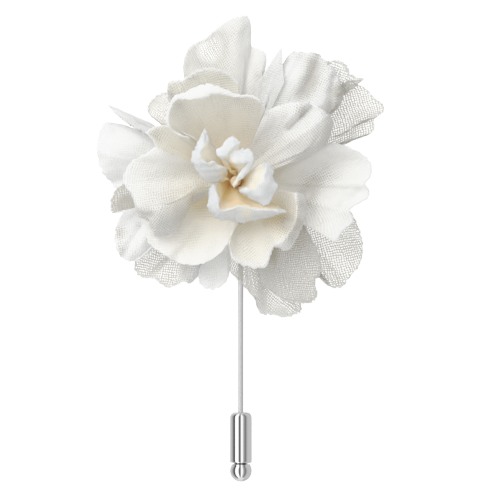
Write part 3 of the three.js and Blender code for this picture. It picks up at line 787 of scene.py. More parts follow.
def rim_curve(points, places):
    """The centripetal Catmull-Rom curve through the points, at places from 0 to 1 that count points evenly.

    Between points 1 and 2 it is the cubic whose end slopes come from the points before and after, each
    stretch taken as long as the square root of the distance between its points.
    """
    points = np.array(points, dtype=float)
    ends = [2 * points[:1] - points[1:2], points, 2 * points[-1:] - points[-2:-1]]
    points = np.concatenate(ends)
    position = places * (len(points) - 3)
    first = np.clip(position.astype(int), 0, len(points) - 4)
    share = (position - first)[:, None]
    p0, p1, p2, p3 = (points[first + k] for k in range(4))
    pairs = ((p0, p1), (p1, p2), (p2, p3))
    d0, d1, d2 = (np.sqrt(np.linalg.norm(b - a, axis=1))[:, None] for a, b in pairs)
    slope1 = ((p1 - p0) / d0 - (p2 - p0) / (d0 + d1) + (p2 - p1) / d1) * d1
    slope2 = ((p2 - p1) / d1 - (p3 - p1) / (d1 + d2) + (p3 - p2) / d2) * d1
    square = 3 * (p2 - p1) - 2 * slope1 - slope2
    cube = 2 * (p1 - p2) + slope1 + slope2
    return p1 + slope1 * share + square * share**2 + cube * share**3


def surface_normals(grid):
    """Unit normals of a grid of points, from the cross product of its slopes out and across."""
    across, out = np.gradient(grid, axis=(0, 1))
    normal = np.cross(out, across)
    return normal / np.maximum(np.linalg.norm(normal, axis=2, keepdims=True), 1e-9)


def run_along(grid, axis):
    """The distance run over a grid of points along one of its axes, from its first row."""
    steps = np.linalg.norm(np.diff(grid, axis=axis), axis=2)
    start = np.zeros_like(np.take(steps, [0], axis))
    return np.concatenate([start, np.cumsum(steps, axis=axis)], axis=axis)


def crest_of(petal, edge, root, v):
    """The crest that a petal's lip falls from, and the lip's width and drop, for each place v along the rim.

    The crest is a curve of its own, or lies inwards and upwards of the edge by the lip's width and drop.
    """
    if "crest" in petal:
        crest = rim_curve(petal["crest"], v)
        return crest, np.linalg.norm((crest - edge)[:, :2], axis=1), crest[:, 2] - edge[:, 2]
    lip = np.array(petal.get("lip", NO_LIP), dtype=float)
    width, drop = (np.interp(v, lip[:, 0], lip[:, k]) for k in (1, 2))
    inward = root - edge
    inward[:, 2] = 0
    inward /= np.linalg.norm(inward, axis=1)[:, None]
    crest = edge + inward * width[:, None]
    crest[:, 2] += drop
    return crest, width, drop


def curled_surface(petal, edge, root, u, v):
    """A petal's plain surface, as points [across, out], with the share of the way out where its crest lies.

    For each place v along the rim, the cubic curve (1 - t)^3 root + 3 t (1 - t)^2 c1 + 3 t^2 (1 - t) c2 +
    t^3 crest runs out to the crest. From there a quarter ellipse, or a slope if it is sharp, falls to the
    rim.
    """
    crest, width, drop = crest_of(petal, edge, root, v)
    crest_at = 1 - LIP_SHARE * np.clip((width + drop) / WIDE_LIP, 0, 1)[:, None]
    t = np.clip(u / crest_at, 0, 1)[:, :, None]
    controls = [root[:, None]]
    for out, up in zip(petal.get("reach", PLAIN_REACH), petal.get("rise", PLAIN_RISE)):
        point = root + (crest - root) * out
        point[:, 2] = root[:, 2] + (crest[:, 2] - root[:, 2]) * up
        controls.append(point[:, None])
    controls.append(crest[:, None])
    weights = [(1 - t) ** 3, 3 * t * (1 - t) ** 2, 3 * t**2 * (1 - t), t**3]
    grid = sum(weight * control for weight, control in zip(weights, controls))
    beyond = np.clip((u - crest_at) / np.maximum(1 - crest_at, 0.001), 0, 1)
    if petal.get("sharp"):
        outward, downward = beyond, beyond**SHARP_LIP
    else:
        outward, downward = np.sin(beyond * np.pi / 2), 1 - np.cos(beyond * np.pi / 2)
    grid[:, :, :2] += (edge - crest)[:, None, :2] * outward[:, :, None]
    grid[:, :, 2] -= drop[:, None] * downward
    return grid, crest_at


def wrinkle(petal, grid, u, v, span, reach, settings, seed):
    """Add a petal's folds, creases, soft waves and crumples to its points.

    A crease takes depth exp(-(distance / width)^2) from the height, by the distance from its line. The
    others are sums of waves along the normal, which grow from the root.
    """
    grown = smooth_step(*WRINKLES_GROW, u)[None, :]
    along = v[:, None] * span
    outwards = u[None, :] * reach
    fold = waves(seed + 3, *FOLD_WAVES, along, FOLD_SLANT * outwards)
    fold = fold - PLEAT_DEPTH * np.abs(waves(seed + 4, *PLEAT_WAVES, along, PLEAT_SLANT * outwards))
    calm = min(1, span / LONG_RIM) ** 2 * petal["lively"]
    size = settings.pleats * calm
    grid += surface_normals(grid) * (fold * grown * size)[:, :, None]
    for x0, y0, x1, y1, width, depth in petal.get("creases", ()):
        line = np.array([x1 - x0, y1 - y0])
        share = ((grid[:, :, 0] - x0) * line[0] + (grid[:, :, 1] - y0) * line[1]) / (line @ line)
        nearest = np.clip(share, 0, 1)
        away = np.hypot(grid[:, :, 0] - x0 - nearest * line[0], grid[:, :, 1] - y0 - nearest * line[1])
        grid[:, :, 2] -= depth * np.exp(-((away / width) ** 2))
    places = np.moveaxis(grid, 2, 0)
    soft = waves(seed + 1, *SOFT_WAVES, *places) * settings.waves
    fine = waves(seed + 2, *CRUMPLE_WAVES, *places) * settings.waves * CRUMPLE_SHARE * petal["crumple"]
    grid += surface_normals(grid) * ((soft * calm + fine) * grown)[:, :, None]


def weave_over(petal, grid):
    """Weave coordinates in millimetres: the ways run across and out over the petal, turned by its grain."""
    length = run_along(grid * (1, 1, WEAVE_RISE), 1)
    across = run_along(grid * (1, 1, WEAVE_RISE), 0)
    across -= across[len(across) // 2]
    grain = np.radians(petal.get("grain", 0))
    cosine, sine = np.cos(grain), np.sin(grain)
    return np.stack([across * cosine - length * sine, across * sine + length * cosine], axis=2)


def petal_grid(petal, root_radius, root_z, settings, seed):
    """A petal's middle surface, as points [across, out], with its weave coordinates and its crest's place.

    It starts on a circle round the sheet's middle and ends at the rim's curve, which the uneven cut moves in
    and out. Ribs add bell curves along the rim to the height, which grow outwards as sin^2.
    """
    v = np.linspace(0, 1, settings.steps_across + 1)
    u = np.linspace(0, 1, settings.steps_out + 1)
    edge = rim_curve(petal["rim"], v)
    span = np.linalg.norm(np.diff(edge, axis=0), axis=1).sum()
    jag = waves(seed, *CUT_WAVES, v * span) * settings.fray * petal["fray"]
    jag = jag * smooth_step(0, RIM_END, v) * smooth_step(0, RIM_END, 1 - v)
    edge[:, :2] *= 1 + (jag / np.linalg.norm(edge[:, :2], axis=1))[:, None]
    start = np.arctan2(edge[0, 1], edge[0, 0])
    sweep = (np.arctan2(edge[-1, 1], edge[-1, 0]) - start) % (2 * np.pi)
    turn = start + sweep * v
    circle = [root_radius * np.cos(turn), root_radius * np.sin(turn), np.full_like(v, root_z)]
    root = np.stack(circle, axis=1)
    root[:, :2] += petal.get("root", (0, 0))
    grid, crest_at = curled_surface(petal, edge, root, u, v)
    lift = np.zeros_like(v)
    for place, spread, height in petal.get("ribs", ()):
        lift += height * np.exp(-(((v - place) / spread) ** 2))
    grid[:, :, 2] += lift[:, None] * np.sin(u * np.pi / 2) ** 2
    reach = np.linalg.norm(edge - root, axis=1).mean()
    wrinkle(petal, grid, u, v, span, reach, settings, seed)
    return grid, weave_over(petal, grid), crest_at, u


def spots(places, grid):
    """Soft round spots seen from above: each adds strength exp(-(distance / radius)^2)."""
    total = np.zeros(grid.shape[:2])
    for x, y, radius, strength in places:
        total += strength * np.exp(-(((grid[:, :, 0] - x) ** 2 + (grid[:, :, 1] - y) ** 2) / radius**2))
    return total


def petal_tint(petal, sheet, grid, crest_at, u, seed):
    """How warm the cloth is, from 0 to 1.

    It is the petal's cream inside the crest, more the deeper it lies, with its stains, and near the bloom's
    middle exp(-(distance / reach)^2) more.
    """
    radius = np.hypot(grid[:, :, 0], grid[:, :, 1])
    near = np.exp(-((radius / sheet["warm"]) ** 2)) if "warm" in sheet else np.zeros_like(radius)
    ragged = petal.get("ragged", PLAIN_RAGGED) * waves(seed + 6, *BORDER_WAVES, run_along(grid, 0))
    inside = 1 - smooth_step(*TINT_BLUR, u - crest_at * (TINT_BORDER + ragged))
    depth = smooth_step(DEEP_FROM, DEEP_TO, 1 - u / crest_at)
    warmth = NEAR_TINT * near + petal.get("cream", 0) * inside * (CREST_TINT + ADDED_TINT * depth)
    return np.clip(warmth + spots(petal.get("tint_and_shade_patches", ()), grid), 0, 1)


def petal_openness(petal, grid, seed):
    """How open the weave is, from 0 to 1.

    It is the petal's own share in soft patches, more in its specks, and fills at the cut rim.
    """
    from_root = run_along(grid, 1)
    from_rim = from_root[:, -1:] - from_root
    patches = PATCH_MEAN + PATCH_CHANGE * waves(seed + 5, *PATCH_WAVES, grid[:, :, 0], grid[:, :, 1])
    openness = petal.get("open", PLAIN_OPEN) * OPEN_GAIN * patches
    # Spots of more open weave, partly painted shade and painted light
    openness += spots(petal.get("weave_and_shade_spots", ()), grid)
    return np.clip(openness * smooth_step(*FILLED_RIM, from_rim), 0, 1)


def grid_faces(rows, columns, offset=0):
    """Four-cornered faces of a grid of points, row by row."""
    corner = (np.arange(rows - 1)[:, None] * columns + np.arange(columns - 1)[None, :]).ravel() + offset
    return np.stack([corner, corner + 1, corner + columns + 1, corner + columns], axis=1)


def disc_grid(radius, steps):
    """A disc as a square grid: x = a sqrt(1 - b^2 / 2), y = b sqrt(1 - a^2 / 2), a and b from -1 to 1."""
    a, b = np.meshgrid(np.linspace(-1, 1, steps + 1), np.linspace(-1, 1, steps + 1), indexing="ij")
    return radius * a * np.sqrt(1 - b * b / 2), radius * b * np.sqrt(1 - a * a / 2)


def add_mesh(name, points, faces, material, weave=None, tints=None):
    """A smooth mesh object at the origin, from points in metres, with its weave map and its tints."""
    mesh = bpy.data.meshes.new(name)
    mesh.from_pydata(points, [], faces)
    mesh.polygons.foreach_set("use_smooth", np.ones(len(mesh.polygons), dtype=bool))
    if weave is not None:
        corners = np.empty(len(mesh.loops), dtype=np.int32)
        mesh.loops.foreach_get("vertex_index", corners)
        layer = mesh.uv_layers.new(name="weave")
        layer.data.foreach_set("uv", weave[corners].astype(np.float32).ravel())
    for label, values in (tints or {}).items():
        attribute = mesh.attributes.new(label, "FLOAT", "POINT")
        attribute.data.foreach_set("value", values.astype(np.float32))
    mesh.materials.append(material)
    mesh.update()
    piece = bpy.data.objects.new(name, mesh)
    bpy.context.collection.objects.link(piece)
    return piece


def cloth_sheet(name):
    """One cut sheet: a disc in the middle with the petals round it, thickened to the cloth's thickness."""
    settings = bpy.context.scene.boutonniere_cloth
    sheet = SHEETS[name]
    index = list(SHEETS).index(name)
    z = FIRST_SHEET_Z + index * SHEET_PITCH
    radius = sheet["radius"]
    x, y = disc_grid(radius, DISC_STEPS)
    bunched = 1 - smooth_step(BUNCH_FROM * radius, BUNCH_TO * radius, np.hypot(x, y))
    points = [np.stack([x, y, z + sheet.get("bunch", 0) * bunched], axis=2).reshape(-1, 3)]
    faces = [grid_faces(*x.shape)]
    weave = [points[0][:, :2]]
    tint = [np.full(x.size, DISC_TINT)]
    see_through = [np.zeros(x.size)]
    for number, petal in enumerate(sheet["petals"]):
        seed = 100 * index + 10 * number
        shared = {"lively": sheet["lively"], "fray": sheet["fray"], "crumple": sheet.get("crumple", 1)}
        petal = {**shared, **petal}
        grid, threads, crest_at, u = petal_grid(petal, radius - ROOT_SUNK, z, settings, seed)
        count = sum(len(part) for part in points)
        points.append(grid.reshape(-1, 3))
        faces.append(grid_faces(*grid.shape[:2], offset=count))
        weave.append(threads.reshape(-1, 2))
        tint.append(petal_tint(petal, sheet, grid, crest_at, u, seed).ravel())
        see_through.append(petal_openness(petal, grid, seed).ravel())
    place = np.array([BLOOM[0], BLOOM[1], 0])
    piece = add_mesh(
        name,
        (np.concatenate(points) + place) * MM,
        np.concatenate(faces),
        muslin("muslin_" + name, sheet),
        np.concatenate(weave),
        {"tint": np.concatenate(tint), "open": np.concatenate(see_through)},
    )
    thicken = piece.modifiers.new("thickness", "SOLIDIFY")
    thicken.thickness = settings.thickness
    thicken.offset = 0
    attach(piece, BLOOM_BODY)
    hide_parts(sheet["node"])
    return piece


class Nodes:
    """A material's node tree with short ways to add and join its nodes."""

    def __init__(self, name):
        self.material = bpy.data.materials.new(name)
        self.material.use_nodes = True
        self.tree = self.material.node_tree
        self.tree.nodes.clear()

    def add(self, kind, inputs=None, **settings):
        """Add a node, with a value or a link for each input that is named."""
        node = self.tree.nodes.new("ShaderNode" + kind)
        for key, value in settings.items():
            setattr(node, key, value)
        for key, value in (inputs or {}).items():
            if isinstance(value, bpy.types.NodeSocket):
                self.tree.links.new(value, node.inputs[key])
            else:
                node.inputs[key].default_value = value
        return node

    def math(self, operation, *values):
        """The result of one operation on the values."""
        return self.add("Math", dict(enumerate(values)), operation=operation).outputs[0]

    def step(self, value, low, high, low_out=0.0, high_out=1.0):
        """low_out below low, high_out above high, and a cubic with level ends between."""
        inputs = {"Value": value, "From Min": low, "From Max": high, "To Min": low_out, "To Max": high_out}
        return self.add("MapRange", inputs, interpolation_type="SMOOTHSTEP").outputs[0]

    def blend(self, share, first, second):
        """The first colour where share is 0, the second where it is 1."""
        node = self.add("Mix", data_type="RGBA")
        for index, value in ((0, share), (6, first), (7, second)):
            if isinstance(value, bpy.types.NodeSocket):
                self.tree.links.new(value, node.inputs[index])
            else:
                node.inputs[index].default_value = value
        return node.outputs[2]

    def finish(self, shader):
        """Join the shader to the material's output."""
        output = self.add("OutputMaterial")
        self.tree.links.new(shader, output.inputs["Surface"])
        return self.material


def weave_gap(nodes, weave, gauze):
    """How far each place is from the middle of the nearest thread, as a share of the pitch.

    Threads run both ways at one pitch. Noise makes them wander softly and finely, and the gap uneven.
    """
    pitch = bpy.context.scene.boutonniere_cloth.pitch
    sway = nodes.add("TexNoise", {"Vector": weave, "Scale": 0.14, "Detail": 3.0}).outputs["Color"]
    sway = nodes.add("VectorMath", {0: sway, 1: (0.5, 0.5, 0.5)}, operation="SUBTRACT").outputs[0]
    sway = nodes.add("VectorMath", {0: sway, "Scale": SWAY}, operation="SCALE").outputs[0]
    threads = nodes.add("VectorMath", {0: weave, 1: sway}, operation="ADD").outputs[0]
    jitter = nodes.add("TexNoise", {"Vector": weave, "Scale": 1.1, "Detail": 1.0}).outputs["Color"]
    jitter = nodes.add("VectorMath", {0: jitter, "Scale": JITTER}, operation="SCALE").outputs[0]
    threads = nodes.add("VectorMath", {0: threads, 1: jitter}, operation="ADD").outputs[0]
    parts = nodes.add("SeparateXYZ", {0: threads}).outputs
    away = [nodes.math("PINGPONG", nodes.math("DIVIDE", part, pitch), 0.5) for part in (parts[0], parts[1])]
    uneven = nodes.add("TexNoise", {"Vector": weave, "Scale": 2.2, "Detail": 2.0}).outputs["Fac"]
    uneven = nodes.math("SUBTRACT", uneven, 0.5)
    uneven = nodes.math("MULTIPLY", uneven, GAUZE_UNEVEN if gauze else MUSLIN_UNEVEN)
    return nodes.math("ADD", nodes.math("MINIMUM", *away), uneven)


def muslin_colour(nodes, weave, hole, see_through, sheet):
    """The cloth's colour: tinted, mottled and flecked, with bare threads and holes where it is open.

    A hole is shaded more where the weave is more open, and filled by white size where it is most open.
    """
    settings = bpy.context.scene.boutonniere_cloth
    # The warm tint: partly the flower's own, partly painted shade on inner faces and down into the cups
    tint = nodes.add("Attribute", attribute_name="tint").outputs["Fac"]
    warm = nodes.add("ValToRGB", {"Fac": tint})
    stops = warm.color_ramp.elements
    # Sheets with shaded lips start from the darker blue-grey white, painted shade on their lips
    stops[0].color = (*(settings.stiffened if sheet.get("shaded_lips") else settings.white), 1)
    stops[1].color = (*settings.amber, 1)
    stops.new(CREAM_AT).color = (*settings.cream, 1)
    mottle = nodes.add("TexNoise", {"Vector": weave, "Scale": 0.16, "Detail": 4.0}).outputs["Fac"]
    colour = nodes.blend(nodes.step(mottle, 0.35, 0.75, 0.0, 0.2), warm.outputs[0], MOTTLED)
    # The bare threads show darker where the weave is open: partly their own grey, partly painted shade
    threads_and_shade = nodes.step(see_through, 0.35, 0.95, 0.0, GAUZE_WEB if sheet.get("gauze") else MUSLIN_WEB)
    colour = nodes.blend(threads_and_shade, colour, CLEAR_WEB if sheet.get("clear") else CLOSED_WEB)
    # Painted shade in the holes, more where the weave is open
    hole_shade = nodes.add("TexNoise", {"Vector": weave, "Scale": 0.22, "Detail": 3.0}).outputs["Fac"]
    hole_shade = nodes.step(hole_shade, 0.45, 0.65, 0.0, 0.3)
    hole_shade = nodes.math("ADD", hole_shade, nodes.step(see_through, 0.0, 0.7, 0.06, 0.85))
    colour = nodes.blend(nodes.math("MULTIPLY", hole, hole_shade), colour, SHADED_HOLE)
    # The most open holes are filled with white: partly white size, partly painted light coming through
    size_and_light = nodes.math("MULTIPLY", hole, nodes.step(see_through, FILM_FROM, FILM_TO))
    colour = nodes.blend(size_and_light, colour, WHITE_SIZE_AND_LIGHT)
    fleck = nodes.add("TexVoronoi", {"Vector": weave, "Scale": 0.17, "Randomness": 1.0}).outputs["Distance"]
    return nodes.blend(nodes.step(fleck, 0.02, 0.045, 0.5, 0.0), colour, FLECK)


def muslin(name, sheet):
    """Plain-woven cloth: threads both ways, holes between them, flecks, fibres and a warm tint inside.

    The holes of a gauze are wider and less even. They are open where it is clear, and else closed by white
    size.
    """
    gauze, clearness = sheet.get("gauze"), sheet.get("clear")
    nodes = Nodes(name)
    weave = nodes.add("UVMap", uv_map="weave").outputs["UV"]
    see_through = nodes.add("Attribute", attribute_name="open").outputs["Fac"]
    gap = weave_gap(nodes, weave, gauze)
    thread = bpy.context.scene.boutonniere_cloth.thread * (GAUZE_THREAD if gauze else 1)
    hole = nodes.step(gap, thread - HOLE_EDGE, thread + HOLE_EDGE)
    colour = muslin_colour(nodes, weave, hole, see_through, sheet)
    fibre = nodes.add("TexNoise", {"Vector": weave, "Scale": 9.0, "Detail": 3.0}).outputs["Fac"]
    height = nodes.math("SUBTRACT", nodes.math("MULTIPLY", fibre, 0.25), nodes.math("MULTIPLY", gap, 2.0))
    bump = nodes.add("Bump", {"Height": height, "Strength": 1.0, "Distance": 0.08 * MM}).outputs[0]
    cloth = nodes.add(
        "BsdfPrincipled",
        {
            "Base Color": colour,
            "Roughness": 0.92,
            "Specular IOR Level": 0.25,
            "Sheen Weight": 0.12,
            "Sheen Roughness": 0.6,
            "Normal": bump,
        },
    )
    through = nodes.add("BsdfTranslucent", {"Color": colour, "Normal": bump}).outputs[0]
    if clearness:
        hole = nodes.math("MULTIPLY", hole, nodes.step(see_through, CLEAR_FROM, CLEAR_TO, 0.0, clearness))
        nodes.tree.links.new(nodes.math("SUBTRACT", 1.0, hole), cloth.inputs["Alpha"])
        clear = nodes.add("BsdfTransparent").outputs[0]
        through = nodes.add("MixShader", {0: hole, 1: through, 2: clear}).outputs[0]
    mixed = nodes.add("MixShader", {0: LIGHT_THROUGH, 1: cloth.outputs[0], 2: through})
    return nodes.finish(mixed.outputs[0])


def metal(name, colour, roughness, brushed):
    """Bright metal with faint scratches round its axis, along Y."""
    nodes = Nodes(name)
    place = nodes.add("TexCoord").outputs["Object"]
    stretched = nodes.add("VectorMath", {0: place, 1: SCRATCHES}, operation="MULTIPLY").outputs[0]
    scratch = nodes.add("TexNoise", {"Vector": stretched, "Scale": 1.0, "Detail": 4.0}).outputs["Fac"]
    smear = nodes.add("TexNoise", {"Vector": place, "Scale": 900.0, "Detail": 3.0}).outputs["Fac"]
    rough = nodes.math("ADD", nodes.math("MULTIPLY", smear, brushed), roughness)
    bump = nodes.add("Bump", {"Height": scratch, "Strength": brushed, "Distance": 0.01 * MM}).outputs[0]
    bright = nodes.add(
        "BsdfPrincipled",
        {"Base Color": (*colour, 1), "Metallic": 1.0, "Roughness": rough, "Normal": bump},
    )
    return nodes.finish(bright.outputs[0])


def felt():
    """Pressed wool: fine fibres crossing every way, with soft mottling."""
    settings = bpy.context.scene.boutonniere_pin
    nodes = Nodes("felt")
    place = nodes.add("TexCoord").outputs["Object"]
    hairs = {"Vector": place, "Scale": 2600.0, "Detail": 6.0, "Distortion": 1.5}
    fibre = nodes.add("TexNoise", hairs).outputs["Fac"]
    mottle = nodes.add("TexNoise", {"Vector": place, "Scale": 350.0, "Detail": 3.0}).outputs["Fac"]
    shade = nodes.step(fibre, 0.3, 0.7, 0.0, 0.3)
    colour = nodes.blend(shade, (*settings.felt, 1), (0.7, 0.68, 0.62, 1))
    colour = nodes.blend(nodes.step(mottle, 0.4, 0.7, 0.0, 0.2), colour, (0.92, 0.91, 0.88, 1))
    bump = nodes.add("Bump", {"Height": fibre, "Strength": 0.8, "Distance": 0.15 * MM}).outputs[0]
    wool = nodes.add(
        "BsdfPrincipled",
        {
            "Base Color": colour,
            "Roughness": 1.0,
            "Sheen Weight": 0.3,
            "Sheen Roughness": 0.5,
            "Normal": bump,
        },
    )
    return nodes.finish(wool.outputs[0])


def set_glue():
    """Glue set cloudy and warm, with soft ripples."""
    settings = bpy.context.scene.boutonniere_pin
    nodes = Nodes("set_glue")
    place = nodes.add("TexCoord").outputs["Object"]
    cloud = nodes.add("TexNoise", {"Vector": place, "Scale": 300.0, "Detail": 4.0}).outputs["Fac"]
    colour = nodes.blend(nodes.step(cloud, 0.35, 0.7), (*settings.glue, 1), (0.9, 0.87, 0.78, 1))
    bump = nodes.add("Bump", {"Height": cloud, "Strength": 0.5, "Distance": 0.3 * MM}).outputs[0]
    glue = nodes.add(
        "BsdfPrincipled",
        {
            "Base Color": colour,
            "Roughness": 0.35,
            "Subsurface Weight": 0.3,
            "Subsurface Scale": 0.5 * MM,
            "Normal": bump,
        },
    )
    return nodes.finish(glue.outputs[0])


def rubber():
    """Dull black rubber with a fine grain."""
    nodes = Nodes("grip_rubber")
    place = nodes.add("TexCoord").outputs["Object"]
    grain = nodes.add("TexNoise", {"Vector": place, "Scale": 4000.0, "Detail": 4.0}).outputs["Fac"]
    colour = nodes.blend(grain, (0.02, 0.02, 0.02, 1), (0.05, 0.05, 0.05, 1))
    bump = nodes.add("Bump", {"Height": grain, "Strength": 0.3, "Distance": 0.05 * MM}).outputs[0]
    black = nodes.add("BsdfPrincipled", {"Base Color": colour, "Roughness": 0.85, "Normal": bump})
    return nodes.finish(black.outputs[0])


def turned(name, profile, axis, material, upright=False, ripple=0):
    """A profile of [radius, place along the axis] pairs in millimetres, turned about a line, poles welded.

    The line runs along Y through axis, or along Z from axis if upright. A ripple moves an upright piece's
    points out and up by that share of soft waves, upwards the more the higher they lie.
    """
    sides = bpy.context.scene.boutonniere_pin.sides
    radius, y = np.array(profile, dtype=float).T
    angle = np.linspace(0, 2 * np.pi, sides, endpoint=False)
    right = radius[:, None] * np.cos(angle)
    back = radius[:, None] * np.sin(angle)
    place = np.repeat(y[:, None], sides, axis=1)
    if upright:
        swell = 1 + ripple * waves(7, *SWELL_WAVES, right, back, place)
        lift = place * (1 + ripple * waves(8, *LIFT_WAVES, right, back))
        points = np.stack([axis[0] + right * swell, axis[1] + back * swell, axis[2] + lift], axis=2)
    else:
        points = np.stack([axis[0] + right, place, axis[2] - back], axis=2)
    points = points.reshape(-1, 3)
    row = np.arange(len(y) - 1)[:, None] * sides
    here = np.arange(sides)[None, :]
    beyond = (here + 1) % sides
    faces = np.stack([row + here, row + beyond, row + sides + beyond, row + sides + here], axis=2)
    piece = add_mesh(name, points * MM, faces.reshape(-1, 4), material)
    weld = piece.modifiers.new("weld", "WELD")
    weld.merge_threshold = 0.001 * MM
    return piece


def arc(centre, radius, start, end, steps):
    """Points [radius, y] on a round corner about centre, from start to end degrees, 0 along the radius."""
    angle = np.radians(np.linspace(start, end, steps + 1))
    return [[centre[0] + radius * np.cos(a), centre[1] + radius * np.sin(a)] for a in angle]


def sheet_operator(name, words):
    """An operator that makes one sheet of petals."""

    def execute(self, context):
        piece = cloth_sheet(name)
        return {"FINISHED"}

    contents = {
        "__doc__": f"Add the {words}",
        "bl_idname": "boutonniere." + name,
        "bl_label": words[0].upper() + words[1:],
        "execute": execute,
    }
    return type("BOUTONNIERE_OT_" + name, (bpy.types.Operator,), contents)


class BOUTONNIERE_OT_backing(bpy.types.Operator):
    """Add the felt disc, the glue and the metal pad behind the bloom"""

    bl_idname = "boutonniere.backing"
    bl_label = "Felt, glue and pad"

    def execute(self, context):
        pin = context.scene.boutonniere_pin
        parts = (
            ("felt_disc", "felt_backing", felt(), 0.35, 0.025, "felt"),
            ("glue_cake", "glue_bed", set_glue(), 0.8, 0.05, "glue"),
            ("pad_plate", "pin_pad", metal("pad_steel", pin.steel, 0.25, 0.25), 0.2, 0, "steel"),
        )
        for name, node, material, rounding, ripple, slot in parts:
            middle, low, high = middle_of(node)
            radius, height = (high[0] - low[0]) / 2, high[2] - low[2]
            face = np.linspace(0, radius - rounding, FACE_RINGS)
            profile = [[out, 0] for out in face[:-1]]
            profile += arc((radius - rounding, rounding), rounding, -90, 0, 8)
            profile += arc((radius - rounding, height - rounding), rounding, 0, 90, 8)
            profile += [[out, height] for out in face[-2::-1]]
            foot = (middle[0], middle[1], low[2])
            piece = turned(name, profile, foot, material, upright=True, ripple=ripple)
            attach(piece, BLOOM_BODY)
            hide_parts(node)
        return {"FINISHED"}


class BOUTONNIERE_OT_needle(bpy.types.Operator):
    """Add the steel needle with its ground point"""

    bl_idname = "boutonniere.needle"
    bl_label = "Needle"

    def execute(self, context):
        pin = context.scene.boutonniere_pin
        middle, low, high = middle_of("pin_needle")
        radius = (high[0] - low[0]) / 2
        point_length, blunt, tip, rounding = 4.0, 0.1, 0.06, 0.12
        profile = [[0, low[1]], [tip * 0.7, low[1] + 0.02], [tip, low[1] + blunt]]
        profile += [
            [tip + (radius - tip) * share**0.8, low[1] + blunt + point_length * share]
            for share in np.linspace(0, 1, 16)[1:]
        ]
        profile += arc((radius - rounding, high[1] - rounding), rounding, 0, 90, 5)
        profile += [[0, high[1]]]
        piece = turned("needle_wire", profile, middle, metal("needle_steel", pin.steel, 0.14, 0.03))
        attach(piece, BLOOM_BODY)
        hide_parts("pin_needle")
        return {"FINISHED"}


class BOUTONNIERE_OT_clutch(bpy.types.Operator):
    """Add the clutch: its barrel, its ball end and the rubber grip inside"""

    bl_idname = "boutonniere.clutch"
    bl_label = "Clutch"

    def execute(self, context):
        pin = context.scene.boutonniere_pin
        chrome = metal("chrome", pin.chrome, 0.02, 0.02)
        middle, low, high = middle_of("clutch_barrel")
        radius = (high[0] - low[0]) / 2
        shoulder, mouth, lip, bore, foot, edge = 1.2, 0.9, 0.8, 1.9, 0.4, 0.1
        top, bottom = high[1], low[1]
        profile = [[bore, bottom]]
        profile += arc((radius - foot, bottom + foot), foot, -90, 0, 8)
        profile += arc((radius - shoulder, top - shoulder), shoulder, 0, 90, 14)
        profile += arc((mouth + edge, top - edge), edge, 90, 180, 4)
        profile += [[mouth, top - lip], [bore, top - lip], [bore, bottom]]
        barrel = turned("clutch_sleeve", profile, middle, chrome)
        middle, low, high = middle_of("clutch_ball")
        collar, groove, plug = 2.15, 0.3, 1.6
        centre = low[1] + radius
        start = np.degrees(np.arccos(collar / radius))
        profile = [[0, low[1]]] + arc((0, centre), radius, -89.5, start, 40)
        collar_top = bottom - groove
        profile += [[collar, collar_top - edge], [collar - edge, collar_top], [plug, collar_top]]
        profile += [[plug, high[1]], [0, high[1]]]
        ball = turned("clutch_end", profile, middle, chrome)
        for piece, node in ((barrel, "clutch_barrel"), (ball, "clutch_ball")):
            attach(piece, CLUTCH_BODY)
            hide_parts(node)
        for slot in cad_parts["clutch_grip"].material_slots:
            slot.material = rubber()
        return {"FINISHED"}


class BOUTONNIERE_OT_stage(bpy.types.Operator):
    """Add the floor, the soft studio light and the camera straight above"""

    bl_idname = "boutonniere.stage"
    bl_label = "Stage"

    def execute(self, context):
        stage = context.scene.boutonniere_stage
        scene = context.scene
        view = scene.view_settings
        view.view_transform = "Standard"
        view.use_curve_mapping = True
        view.curve_mapping.white_level = (TONE_WHITE, TONE_WHITE, TONE_WHITE)
        tone = view.curve_mapping.curves[3]
        for light, shown in TONE:
            tone.points.new(light / TONE_WHITE, shown)
        view.curve_mapping.update()
        scene.cycles.diffuse_bounces = 8
        scene.cycles.transparent_max_bounces = 24
        add_floor(stage)
        add_world(stage)
        add_mirrored_ring()
        add_softbox("key", stage.key, KEY_SIZE, KEY_PLACE)
        add_softbox("overhead", stage.top, OVERHEAD_SIZE, OVERHEAD_PLACE)
        lens = bpy.data.cameras.new("camera")
        lens.sensor_width = 36
        lens.lens = lens.sensor_width * stage.distance / stage.view_width
        lens.clip_start, lens.clip_end = 0.01, 20
        camera = bpy.data.objects.new("camera", lens)
        camera.location = np.array(PICTURE_MIDDLE) * MM + [0, 0, stage.distance]
        context.collection.objects.link(camera)
        scene.camera = camera
        return {"FINISHED"}


def add_floor(stage):
    """A wide plain floor at the part's underside, which glows and takes shadows but lights nothing."""
    nodes = Nodes("floor_paper")
    paper = nodes.add(
        "BsdfPrincipled",
        {
            "Base Color": (*stage.floor, 1),
            "Roughness": 1.0,
            "Specular IOR Level": 0.0,
            "Emission Color": (1, 1, 1, 1),
            "Emission Strength": 1.1,
        },
    )
    x, y = np.meshgrid([-FLOOR_HALF, FLOOR_HALF], [-FLOOR_HALF, FLOOR_HALF], indexing="ij")
    points = np.stack([x, y, np.zeros_like(x)], axis=2).reshape(-1, 3)
    floor = add_mesh("floor", points, [[0, 2, 3, 1]], nodes.finish(paper.outputs[0]))
    floor.visible_glossy = False
    floor.visible_diffuse = False
    floor.visible_transmission = False


